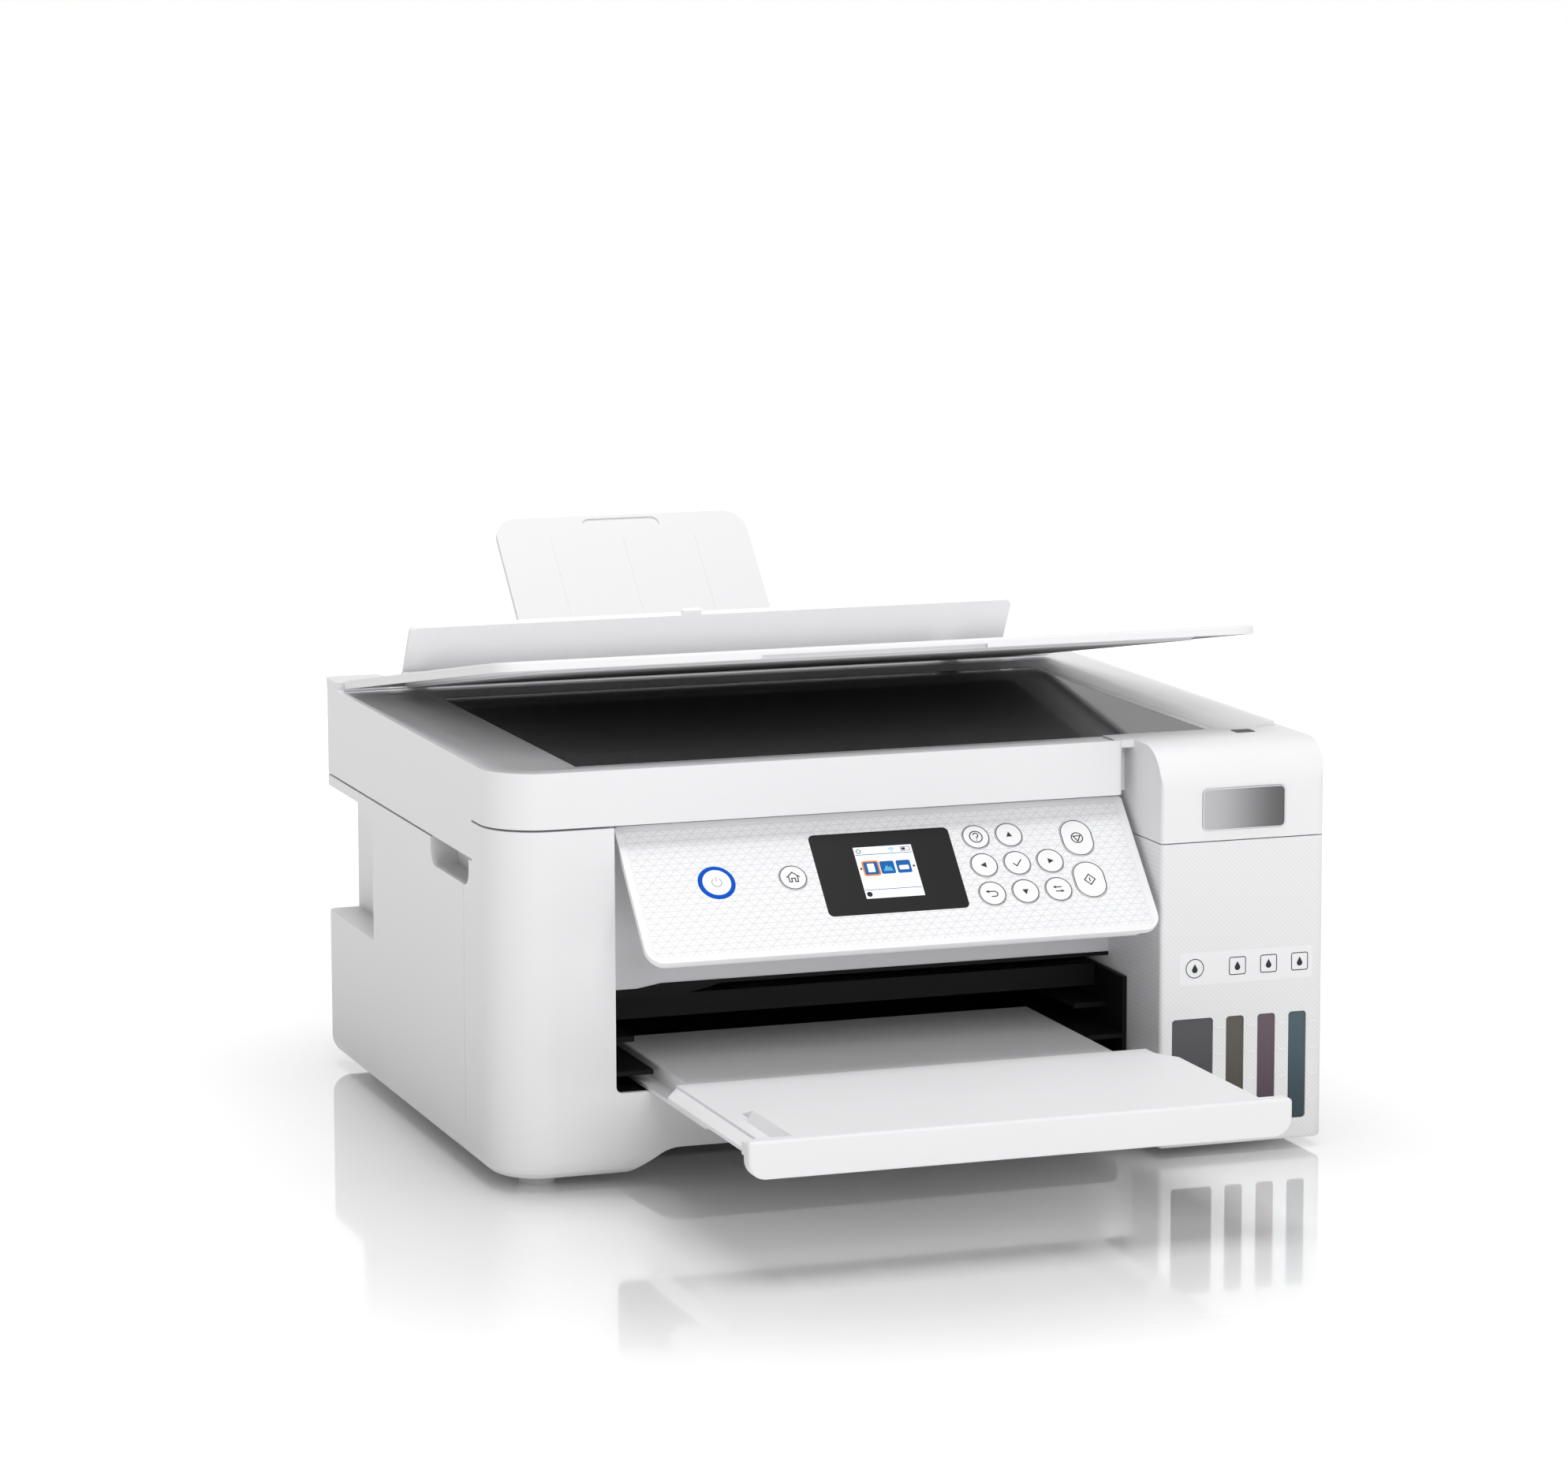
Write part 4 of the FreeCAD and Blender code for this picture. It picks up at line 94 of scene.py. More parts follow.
def ink(name: str, bottom: Colour, top: Colour) -> Finish:
    """Finish of one ink tank, with its tones at the bottom and at the top."""
    return Finish(name, bottom, 0.3, relief=0.0, specular=0.3, pattern=Pattern.LEVEL, second=top)


WHITE = Finish("case_white", (0.80, 0.80, 0.81), 0.48)
SMOOTH_WHITE = Finish("smooth_white", (0.83, 0.83, 0.84), 0.34, relief=0.02)
PANEL_WHITE = Finish("panel_lattice", (0.84, 0.84, 0.85), 0.32, relief=0.02, pattern=Pattern.LATTICE,
                     second=(0.66, 0.665, 0.68))
TANK_WHITE = Finish("tank_hatch", (0.80, 0.80, 0.81), 0.45, pattern=Pattern.HATCH, relief=0.12)
# Feeder guard: whiter than the case white, painted light that brightens it behind the lid; its dots are its
# own texture.
GUARD_PAINTED_LIGHT_WHITE = Finish("guard_dots_painted_light", (0.93, 0.93, 0.94), 0.5, pattern=Pattern.DOTS, relief=0.04)
BLACK = Finish("frame_black", (0.007, 0.007, 0.008), 0.5, relief=0.05, specular=0.12)
GREY = Finish("gear_grey", (0.35, 0.35, 0.36), 0.45)
STEEL = Finish("rail_steel", (0.55, 0.56, 0.57), 0.32, metallic=1.0, relief=0.03)
POLISHED = Finish("rod_steel", (0.7, 0.7, 0.71), 0.12, metallic=1.0, relief=0.01)
RUBBER = Finish("belt_rubber", (0.025, 0.025, 0.025), 0.75, relief=0.15)
FOOT = Finish("foot_rubber", (0.62, 0.62, 0.63), 0.8, relief=0.15)
BOARD = Finish("board_green", (0.03, 0.16, 0.07), 0.4)
BED_GLASS = Finish("bed_glass", (0.1, 0.1, 0.104), 0.06, relief=0.0, shade=0.2, specular=0.025)
# Lid pad: light grey instead of its white, painted shade for the deep shade under the lid.
PAINTED_SHADE_MAT = Finish("mat_grey_painted_shade", (0.62, 0.62, 0.63), 0.8, grain=900.0, relief=0.12, specular=0.2)
WINDOW_BLACK = Finish("window_black", (0.006, 0.006, 0.007), 0.3, relief=0.0, shade=0.2, specular=0.16)
LCD_WHITE = Finish("lcd_lit", (0.9, 0.93, 0.96), 0.3, relief=0.0, shade=0.02, glow=(0.95, 0.98, 1.0),
                   glow_strength=0.12)
RING_BLUE = Finish("ring_blue", (0.0, 0.07, 0.42), 0.4, relief=0.0, specular=0.05, glow=(0.0, 0.07, 0.6),
                   glow_strength=0.3)
POWER_WHITE = Finish("power_white", (0.86, 0.89, 0.93), 0.3, relief=0.01, glow=(0.8, 0.88, 1.0),
                     glow_strength=0.04)
KEY_WHITE = Finish("key_white", (0.86, 0.86, 0.87), 0.3, relief=0.01)
PRINT_GREY = Finish("print_grey", (0.025, 0.025, 0.028), 0.5, relief=0.0, specular=0.2)
PALE_PRINT = Finish("print_pale", (0.42, 0.43, 0.46), 0.5, relief=0.0)
LCD_BLUE = Finish("lcd_blue", (0.012, 0.11, 0.36), 0.5, relief=0.0, specular=0.1, glow=(0.01, 0.1, 0.35),
                  glow_strength=0.15)
LCD_SKY = Finish("lcd_sky", (0.08, 0.42, 0.68), 0.5, relief=0.0, specular=0.1, glow=(0.08, 0.4, 0.65),
                 glow_strength=0.15)
LCD_ORANGE = Finish("lcd_orange", (0.85, 0.24, 0.01), 0.5, relief=0.0, specular=0.1,
                    glow=(0.85, 0.24, 0.01), glow_strength=0.15)
LCD_DARK = Finish("lcd_dark", (0.02, 0.02, 0.024), 0.5, relief=0.0, specular=0.1)
# Badge: silver grey at the left, turning to the dark second tone at the right, a painted sheen.
SILVER = Finish("badge_silver_painted_sheen", (0.43, 0.43, 0.44), 0.34, metallic=0.3, relief=0.02,
                pattern=Pattern.SILVER, second=(0.085, 0.085, 0.088))
FLOOR = Finish("floor_white", (0.9, 0.9, 0.9), 0.06, relief=0.0, shade=0.01)
INKS: dict[str, Finish] = {
    "black": ink("ink_black", (0.035, 0.035, 0.038), (0.085, 0.085, 0.092)),
    "yellow": ink("ink_yellow", (0.055, 0.048, 0.040), (0.105, 0.095, 0.082)),
    "magenta": ink("ink_magenta", (0.070, 0.042, 0.060), (0.125, 0.088, 0.112)),
    "cyan": ink("ink_cyan", (0.028, 0.052, 0.064), (0.068, 0.110, 0.130)),
}


@dataclass(frozen=True)
class Site:
    """Places on the printer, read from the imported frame."""

    left: float
    front: float
    axis: Vector
    turn: float

    @classmethod
    def read(cls) -> "Site":
        """Read the case's left front corner and the panel's hinge.

        Returns:
            The places.
        """
        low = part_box("main_case")[0]
        hinge = next(j for j in frame["joints"] if j["name"] == "panel_tilt")
        tilt = -math.radians(hinge["range_deg"][0])
        return cls(low.x, low.y, Vector(hinge["pos_m"]), math.pi / 2 - tilt)

    def corner(self, x: float, y: float, z: float) -> Vector:
        """Point so many millimetres right, behind and above the left front corner."""
        return Vector((self.left + x * MM, self.front + y * MM, z * MM))

    def panel(self, x: float, up: float, out: float) -> Vector:
        """Point on the panel from its hinge axis, in millimetres; x runs from the printer's middle."""
        cos, sin = math.cos(self.turn), math.sin(self.turn)
        return self.axis + Vector((x * MM, (up * cos - out * sin) * MM, (up * sin + out * cos) * MM))


SITE = Site.read()


class Groups:
    """Shader node groups shared by the finishes, and nodes that every tree uses."""

    FINE_DETAIL = 3.0
    BROAD_SCALE = 14.0
    ROUGHNESS_WANDER = 0.12

    @staticmethod
    def _new(name: str, inputs: list[tuple[str, str]],
             outputs: list[str]) -> tuple[NodeTree, bpy.types.Node, bpy.types.Node]:
        """Start a group with named sockets.

        Args:
            name: Name of the group.
            inputs: Socket names and their kinds.
            outputs: Names of the float outputs.

        Returns:
            The tree, its input node and its output node.
        """
        tree = bpy.data.node_groups.new(name, "ShaderNodeTree")
        for label, kind in inputs:
            tree.interface.new_socket(label, in_out="INPUT", socket_type=kind)
        for label in outputs:
            tree.interface.new_socket(label, in_out="OUTPUT", socket_type="NodeSocketFloat")
        return tree, tree.nodes.new("NodeGroupInput"), tree.nodes.new("NodeGroupOutput")

    @staticmethod
    def math(tree: NodeTree, kind: str, first: Value, second: Optional[Value] = None) -> Socket:
        """Put a math node into a tree.

        Args:
            tree: The tree.
            kind: Operation of the node.
            first: First input, a socket or a number.
            second: Second input, where the operation has one.

        Returns:
            The node's output.
        """
        node = tree.nodes.new("ShaderNodeMath")
        node.operation = kind
        for slot, value in enumerate((first, second)):
            if isinstance(value, Socket):
                tree.links.new(value, node.inputs[slot])
            elif value is not None:
                node.inputs[slot].default_value = value
        return node.outputs[0]

    @staticmethod
    def rise(tree: NodeTree, value: Socket, reach: Point, span: Point = (0.0, 1.0)) -> Socket:
        """Put a smooth change from one number to another into a tree.

        Args:
            tree: The tree.
            value: Value that drives the change.
            reach: Driving values where the change starts and ends.
            span: Numbers before and after the change.

        Returns:
            The changing number.
        """
        node = tree.nodes.new("ShaderNodeMapRange")
        node.interpolation_type = "SMOOTHSTEP"
        tree.links.new(value, node.inputs["Value"])
        node.inputs["From Min"].default_value, node.inputs["From Max"].default_value = reach
        node.inputs["To Min"].default_value, node.inputs["To Max"].default_value = span
        return node.outputs["Result"]

    @classmethod
    def grain(cls) -> NodeTree:
        """Moulded grain: a fine height, a broad tone and a roughness that wanders round a base.

        Returns:
            The group, built once.
        """
        found = bpy.data.node_groups.get("moulded_grain")
        if found:
            return found
        tree, enter, leave = cls._new("moulded_grain", [
            ("Vector", "NodeSocketVector"), ("Scale", "NodeSocketFloat"), ("Roughness", "NodeSocketFloat")],
            ["Height", "Tone", "Roughness"])
        fine = tree.nodes.new("ShaderNodeTexNoise")
        broad = tree.nodes.new("ShaderNodeTexNoise")
        fine.inputs["Detail"].default_value = cls.FINE_DETAIL
        broad.inputs["Scale"].default_value = cls.BROAD_SCALE
        tree.links.new(enter.outputs["Vector"], fine.inputs["Vector"])
        tree.links.new(enter.outputs["Scale"], fine.inputs["Scale"])
        tree.links.new(enter.outputs["Vector"], broad.inputs["Vector"])
        tree.links.new(fine.outputs["Fac"], leave.inputs["Height"])
        tree.links.new(broad.outputs["Fac"], leave.inputs["Tone"])
        centred = cls.math(tree, "SUBTRACT", broad.outputs["Fac"], 0.5)
        wander = cls.math(tree, "MULTIPLY", centred, cls.ROUGHNESS_WANDER)
        tree.links.new(cls.math(tree, "ADD", enter.outputs["Roughness"], wander), leave.inputs["Roughness"])
        return tree

    @classmethod
    def lines(cls) -> NodeTree:
        """Thin parallel lines: one where the surface is on a line and nothing elsewhere.

        Returns:
            The group, built once.
        """
        found = bpy.data.node_groups.get("thin_lines")
        if found:
            return found
        tree, enter, leave = cls._new("thin_lines", [
            ("Vector", "NodeSocketVector"), ("Across", "NodeSocketVector"), ("Pitch", "NodeSocketFloat"),
            ("Width", "NodeSocketFloat")], ["Mask"])
        dot = tree.nodes.new("ShaderNodeVectorMath")
        dot.operation = "DOT_PRODUCT"
        tree.links.new(enter.outputs["Vector"], dot.inputs[0])
        tree.links.new(enter.outputs["Across"], dot.inputs[1])
        turns = cls.math(tree, "DIVIDE", dot.outputs["Value"], enter.outputs["Pitch"])
        part = cls.math(tree, "FRACT", cls.math(tree, "ADD", turns, 0.5))
        away = cls.math(tree, "ABSOLUTE", cls.math(tree, "SUBTRACT", part, 0.5))
        share = cls.math(tree, "DIVIDE", enter.outputs["Width"], enter.outputs["Pitch"])
        limit = cls.math(tree, "MULTIPLY", share, 0.5)
        tree.links.new(cls.math(tree, "LESS_THAN", away, limit), leave.inputs["Mask"])
        return tree


@dataclass
class PanelPlace:
    """Lattice area of the panel plate, in millimetres on the panel."""

    base: float = 5.74
    row: float = 3.0
    line: float = 0.36
    middle_x: float = -12.9
    half_x: float = 115.6
    middle_up: float = -29.5
    half_up: float = 32.6


class Paint:
    """Builds each finish once as a node material; its sizes are in millimetres."""

    RELIEF_DEPTH = 0.1
    HATCH_ACROSS = (0.7071, 0.0, 0.7071)
    HATCH_PITCH = 1.5
    HATCH_LINE = 0.7
    HATCH_STRENGTH = 0.6
    HATCH_SHADE = 0.9
    DOT_SCALE = 700.0
    # Left and right ends of the badge's painted sheen, in millimetres from the left.
    PAINTED_SHEEN_X = (315.0, 356.0)
    # Heights in millimetres over which the ink tanks turn lighter towards the top.
    LEVEL_Z = (10.0, 66.0)
    MIX_COLOURS = (6, 7)
    MIX_RESULT = 2

    def __init__(self) -> None:
        """Start with no materials."""
        self.made: dict[str, bpy.types.Material] = {}

    def get(self, finish: Finish) -> bpy.types.Material:
        """Material of a finish.

        Args:
            finish: The finish to build or look up.

        Returns:
            The material.
        """
        if finish.name not in self.made:
            self.made[finish.name] = self._build(finish)
        return self.made[finish.name]

    def _build(self, finish: Finish) -> bpy.types.Material:
        """Build the node tree of one finish.

        Args:
            finish: The finish to build.

        Returns:
            The new material.
        """
        material = bpy.data.materials.new(finish.name)
        material.use_nodes = True
        tree = material.node_tree
        shader = tree.nodes["Principled BSDF"]
        shader.inputs["Metallic"].default_value = finish.metallic
        shader.inputs["Specular IOR Level"].default_value = finish.specular
        if finish.glow:
            shader.inputs["Emission Color"].default_value = (*finish.glow, 1.0)
            shader.inputs["Emission Strength"].default_value = finish.glow_strength
        where = tree.nodes.new("ShaderNodeTexCoord").outputs["Object"]
        grain = tree.nodes.new("ShaderNodeGroup")
        grain.node_tree = Groups.grain()
        grain.inputs["Scale"].default_value = finish.grain
        grain.inputs["Roughness"].default_value = finish.roughness
        tree.links.new(where, grain.inputs["Vector"])
        tree.links.new(grain.outputs["Roughness"], shader.inputs["Roughness"])
        darker = tuple(c * (1 - finish.shade) for c in finish.colour)
        tone = self._mix(tree, grain.outputs["Tone"], darker, finish.colour)
        tone, height = self._pattern(tree, finish, where, tone, grain.outputs["Height"])
        tree.links.new(tone, shader.inputs["Base Color"])
        if finish.relief > 0:
            bump = tree.nodes.new("ShaderNodeBump")
            bump.inputs["Strength"].default_value = finish.relief
            bump.inputs["Distance"].default_value = self.RELIEF_DEPTH * MM
            tree.links.new(height, bump.inputs["Height"])
            tree.links.new(bump.outputs["Normal"], shader.inputs["Normal"])
        return material

    def _pattern(self, tree: NodeTree, finish: Finish, where: Socket, tone: Socket,
                 height: Socket) -> tuple[Socket, Socket]:
        """Lay a finish's pattern over its grain.

        Args:
            tree: Tree of the material.
            finish: The finish.
            where: Place on the printer.
            tone: Colour of the grain.
            height: Height of the grain.

        Returns:
            The colour and the height with the pattern.
        """
        if finish.pattern is Pattern.LATTICE:
            tone = self._mix(tree, self._lattice(tree, where, PanelPlace()), tone, finish.second)
        elif finish.pattern is Pattern.HATCH:
            height = self._line(tree, where, self.HATCH_ACROSS, self.HATCH_PITCH, self.HATCH_LINE)
            amount = Groups.math(tree, "MULTIPLY", height, self.HATCH_STRENGTH)
            tone = self._mix(tree, amount, tone, tuple(c * self.HATCH_SHADE for c in finish.colour))
        elif finish.pattern is Pattern.DOTS:
            cells = tree.nodes.new("ShaderNodeTexVoronoi")
            cells.inputs["Scale"].default_value = self.DOT_SCALE
            tree.links.new(where, cells.inputs["Vector"])
            height = cells.outputs["Distance"]
        elif finish.pattern is Pattern.SILVER:
            # Painted sheen: the badge is lighter at the left and darker at the right.
            start, end = (SITE.corner(x, 0, 0).x for x in self.PAINTED_SHEEN_X)
            painted_sheen = Groups.rise(tree, self._axis(tree, where, 0), (start, end))
            tone = self._mix(tree, painted_sheen, finish.colour, finish.second)
        elif finish.pattern is Pattern.LEVEL:
            # Ink tanks darker at the bottom and lighter at the top, in a smooth ramp.
            start, end = (z * MM for z in self.LEVEL_Z)
            level = Groups.rise(tree, self._axis(tree, where, 2), (start, end))
            tone = self._mix(tree, level, finish.colour, finish.second)
        return tone, height

    @classmethod
    def _mix(cls, tree: NodeTree, amount: Socket, low: Tone, high: Tone) -> Socket:
        """Mix two colours.

        Args:
            tree: Tree that gets the node.
            amount: Share of the second colour.
            low: First colour, a socket or plain.
            high: Second colour, a socket or plain.

        Returns:
            The mixed colour.
        """
        node = tree.nodes.new("ShaderNodeMix")
        node.data_type = "RGBA"
        tree.links.new(amount, node.inputs["Factor"])
        for slot, value in zip(cls.MIX_COLOURS, (low, high)):
            if isinstance(value, Socket):
                tree.links.new(value, node.inputs[slot])
            else:
                node.inputs[slot].default_value = (*value, 1.0)
        return node.outputs[cls.MIX_RESULT]

    @staticmethod
    def _line(tree: NodeTree, vector: Socket, across: Triple, pitch: float, width: float) -> Socket:
        """Place the line group.

        Args:
            tree: Tree that gets the group.
            vector: Place on the surface.
            across: Direction across the lines.
            pitch: Distance between lines.
            width: Width of a line.

        Returns:
            The mask of the lines.
        """
        node = tree.nodes.new("ShaderNodeGroup")
        node.node_tree = Groups.lines()
        node.inputs["Across"].default_value = across
        node.inputs["Pitch"].default_value = pitch * MM
        node.inputs["Width"].default_value = width * MM
        tree.links.new(vector, node.inputs["Vector"])
        return node.outputs["Mask"]

    @staticmethod
    def _axis(tree: NodeTree, vector: Socket, axis: int) -> Socket:
        """Take one axis of a vector.

        Args:
            tree: Tree that gets the node.
            vector: The vector.
            axis: Number of the axis.

        Returns:
            The value along that axis.
        """
        split = tree.nodes.new("ShaderNodeSeparateXYZ")
        tree.links.new(vector, split.inputs["Vector"])
        return split.outputs[axis]

    def _lattice(self, tree: NodeTree, vector: Socket, place: PanelPlace) -> Socket:
        """Triangle lattice on the panel's plane, inside its smooth rim.

        Args:
            tree: Tree that gets the nodes.
            vector: Place on the printer.
            place: Sizes and area of the lattice.

        Returns:
            The mask of the lines.
        """
        flat = tree.nodes.new("ShaderNodeMapping")
        flat.vector_type = "TEXTURE"
        flat.inputs["Location"].default_value = SITE.axis
        flat.inputs["Rotation"].default_value = (SITE.turn, 0.0, 0.0)
        tree.links.new(vector, flat.inputs["Vector"])
        on_plane = flat.outputs["Vector"]
        slant = math.atan2(place.row, place.base / 2)
        mask = self._line(tree, on_plane, (0.0, 1.0, 0.0), place.row, place.line)
        for side in (1, -1):
            across = (math.sin(slant), side * math.cos(slant), 0.0)
            slanted = self._line(tree, on_plane, across, place.base * math.sin(slant), place.line)
            mask = Groups.math(tree, "MAXIMUM", mask, slanted)
        for axis, middle, half in ((0, place.middle_x, place.half_x), (1, place.middle_up, place.half_up)):
            offset = Groups.math(tree, "SUBTRACT", self._axis(tree, on_plane, axis), middle * MM)
            inside = Groups.math(tree, "LESS_THAN", Groups.math(tree, "ABSOLUTE", offset), half * MM)
            mask = Groups.math(tree, "MULTIPLY", mask, inside)
        return mask


PAINT = Paint()


class Flat:
    """Outlines in millimetres on a plane."""

    MITRE_LIMIT = 0.4

    @staticmethod
    def arc(x: float, y: float, radius: float, start: float, end: float, steps: int = 24) -> Polygon:
        """Points along an arc.

        Args:
            x: Centre to the right.
            y: Centre upwards.
            radius: Radius of the arc.
            start: Angle of the first point, in degrees from the right.
            end: Angle of the last point.
            steps: Number of runs.

        Returns:
            The points.
        """
        angles = [math.radians(start + (end - start) * i / steps) for i in range(steps + 1)]
        return [(x + radius * math.cos(a), y + radius * math.sin(a)) for a in angles]

    @staticmethod
    def ring(x: float, y: float, radius: float, steps: int) -> Polygon:
        """Points of a full circle, which a closed line joins."""
        return Flat.arc(x, y, radius, 0, 360, steps)[:-1]

    @staticmethod
    def rounded(x0: float, y0: float, x1: float, y1: float, radius: float, steps: int = 8) -> Polygon:
        """Rectangle with round corners, going round to the left.

        Args:
            x0: Left edge.
            y0: Lower edge.
            x1: Right edge.
            y1: Upper edge.
            radius: Radius of the corners.
            steps: Number of runs in a corner.

        Returns:
            The points.
        """
        points: Polygon = []
        for cx, cy, start in ((x1 - radius, y0 + radius, -90), (x1 - radius, y1 - radius, 0),
                              (x0 + radius, y1 - radius, 90), (x0 + radius, y0 + radius, 180)):
            points += Flat.arc(cx, cy, radius, start, start + 90, steps)
        return points

    @staticmethod
    def stroke(points: Polygon, width: float, closed: bool = False) -> list[Polygon]:
        """Line of a width along points, as one quad for each run with mitred corners.

        Args:
            points: Corners of the line.
            width: Width of the line.
            closed: Whether the last point joins the first.

        Returns:
            The quads.
        """
        count = len(points)
        sides: list[tuple[Point, Point]] = []
        for i, (x, y) in enumerate(points):
            before = points[i - 1] if closed or i > 0 else points[i]
            after = points[(i + 1) % count] if closed or i < count - 1 else points[i]
            first = Vector((x - before[0], y - before[1]))
            second = Vector((after[0] - x, after[1] - y))
            first = first.normalized() if first.length else second.normalized()
            second = second.normalized() if second.length else first
            along = (first + second).normalized()
            reach = width / 2 / max(Flat.MITRE_LIMIT, along.dot(second))
            side_x, side_y = along.y * reach, along.x * reach
            sides.append(((x - side_x, y + side_y), (x + side_x, y - side_y)))
        quads: list[Polygon] = []
        for i in range(count if closed else count - 1):
            (left, right), (next_left, next_right) = sides[i], sides[(i + 1) % count]
            quads.append([right, next_right, next_left, left])
        return quads


def make_piece(name: str, polygons: list[Polygon], place: Placer, low: float, high: float, finish: Finish,
               body: str, slot: str) -> bpy.types.Object:
    """Thin solid of an outline, placed on a plane of the printer.

    Args:
        name: Name of the piece.
        polygons: Outlines on the plane, in millimetres.
        place: Gives the point in the frame for two plane distances and a height.
        low: Height of the lower face.
        high: Height of the upper face.
        finish: Its finish.
        body: CAD body that it rides on.
        slot: Record slot of its material.

    Returns:
        The finished piece.
    """
    vertices: list[Vector] = []
    faces: list[list[int]] = []
    for polygon in polygons:
        count = len(polygon)
        base = len(vertices)
        vertices += [place(u, v, low) for u, v in polygon] + [place(u, v, high) for u, v in polygon]
        faces.append([base + i for i in reversed(range(count))])
        faces.append([base + count + i for i in range(count)])
        for i in range(count):
            j = (i + 1) % count
            faces.append([base + i, base + j, base + count + j, base + count + i])
    mesh = bpy.data.meshes.new(name)
    mesh.from_pydata(vertices, [], faces)
    mesh.update()
    return finish_piece(bpy.data.objects.new(name, mesh), finish, body, slot)


def finish_piece(piece: bpy.types.Object, finish: Finish, body: str, slot: str) -> bpy.types.Object:
    """Link a new piece, paint it and set it on its body.

    Args:
        piece: The new object.
        finish: Its finish.
        body: CAD body that it rides on.
        slot: Record slot of its material; not used.

    Returns:
        The same object.
    """
    bpy.context.scene.collection.objects.link(piece)
    if not piece.data.materials:
        piece.data.materials.append(PAINT.get(finish))
    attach(piece, body)
    LOG.info("piece %s on %s", piece.name, body)
    return piece


def paint_node(node: str, finish: Finish) -> None:
    """Put a finish on a CAD node.

    Args:
        node: Name of the node.
        finish: Its finish.
    """
    mesh = frame["nodes"][node].data
    mesh.materials.clear()
    mesh.materials.append(PAINT.get(finish))


@dataclass
class BarRow:
    """Row of rounded bars made by a node tree, such as level marks or grip ribs."""

    SOFT_LEVEL = 2
    EDGE_CREASE = 0.72

    name: str
    bar: Vector
    count: int
    start: Vector
    step: Vector
    finish: Finish
    body: str
    slot: str

    @classmethod
    def tree(cls) -> NodeTree:
        """Node tree that sets bars along a line.

        Returns:
            The tree, built once.
        """
        found = bpy.data.node_groups.get("bar_row")
        if found:
            return found
        tree = bpy.data.node_groups.new("bar_row", "GeometryNodeTree")
        for label, kind in (("Base", "NodeSocketGeometry"), ("Bar", "NodeSocketVector"),
                            ("Count", "NodeSocketInt"), ("Start", "NodeSocketVector"),
                            ("Step", "NodeSocketVector"), ("Finish", "NodeSocketMaterial")):
            tree.interface.new_socket(label, in_out="INPUT", socket_type=kind)
        tree.interface.new_socket("Bars", in_out="OUTPUT", socket_type="NodeSocketGeometry")
        enter = tree.nodes.new("NodeGroupInput")
        leave = tree.nodes.new("NodeGroupOutput")
        line = tree.nodes.new("GeometryNodeMeshLine")
        line.mode = "OFFSET"
        bar = tree.nodes.new("GeometryNodeMeshCube")
        soft = tree.nodes.new("GeometryNodeSubdivisionSurface")
        soft.inputs["Level"].default_value = cls.SOFT_LEVEL
        soft.inputs["Edge Crease"].default_value = cls.EDGE_CREASE
        put = tree.nodes.new("GeometryNodeInstanceOnPoints")
        real = tree.nodes.new("GeometryNodeRealizeInstances")
        coat = tree.nodes.new("GeometryNodeSetMaterial")
        links = tree.links
        links.new(enter.outputs["Count"], line.inputs["Count"])
        links.new(enter.outputs["Start"], line.inputs["Start Location"])
        links.new(enter.outputs["Step"], line.inputs["Offset"])
        links.new(enter.outputs["Bar"], bar.inputs["Size"])
        links.new(bar.outputs["Mesh"], soft.inputs["Mesh"])
        links.new(line.outputs["Mesh"], put.inputs["Points"])
        links.new(soft.outputs["Mesh"], put.inputs["Instance"])
        links.new(put.outputs["Instances"], real.inputs["Geometry"])
        links.new(real.outputs["Geometry"], coat.inputs["Geometry"])
        links.new(enter.outputs["Finish"], coat.inputs["Material"])
        links.new(coat.outputs["Geometry"], leave.inputs["Bars"])
        return tree

    def build(self) -> bpy.types.Object:
        """Run the tree and keep its result as a plain mesh.

        Returns:
            The finished piece.
        """
        tree = self.tree()
        carrier = bpy.data.objects.new(self.name + "_rule", bpy.data.meshes.new(self.name + "_rule"))
        bpy.context.scene.collection.objects.link(carrier)
        rule = carrier.modifiers.new("bars", "NODES")
        rule.node_group = tree
        values = {"Bar": self.bar, "Count": self.count, "Start": self.start, "Step": self.step,
                  "Finish": PAINT.get(self.finish)}
        for item in tree.interface.items_tree:
            if item.in_out == "INPUT" and item.name in values:
                rule[item.identifier] = values[item.name]
        bpy.context.view_layer.update()
        shape = bpy.data.meshes.new_from_object(carrier.evaluated_get(bpy.context.evaluated_depsgraph_get()))
        carrier.modifiers.remove(rule)
        bpy.data.objects.remove(carrier)
        shape.name = self.name
        return finish_piece(bpy.data.objects.new(self.name, shape), self.finish, self.body, self.slot)


class Sign(Enum):
    """Pictograms of the keys."""

    POWER = "power"
    HOME = "home"
    HELP = "help"
    UP = "up"
    LEFT = "left"
    OK = "ok"
    RIGHT = "right"
    BACK = "back"
    DOWN = "down"
    SWAP = "swap"
    STOP = "stop"
    START = "start"


def arrow_head(x: float, y: float, size: float, degrees: float) -> Polygon:
    """Solid triangle that points one way.

    Args:
        x: Centre to the right.
        y: Centre upwards.
        size: Distance from the centre to each corner.
        degrees: Direction of its point, from the right.

    Returns:
        The three corners.
    """
    wing = 125
    angles = [math.radians(degrees + a) for a in (0, wing, 360 - wing)]
    return [(x + size * math.cos(a), y + size * math.sin(a)) for a in angles]


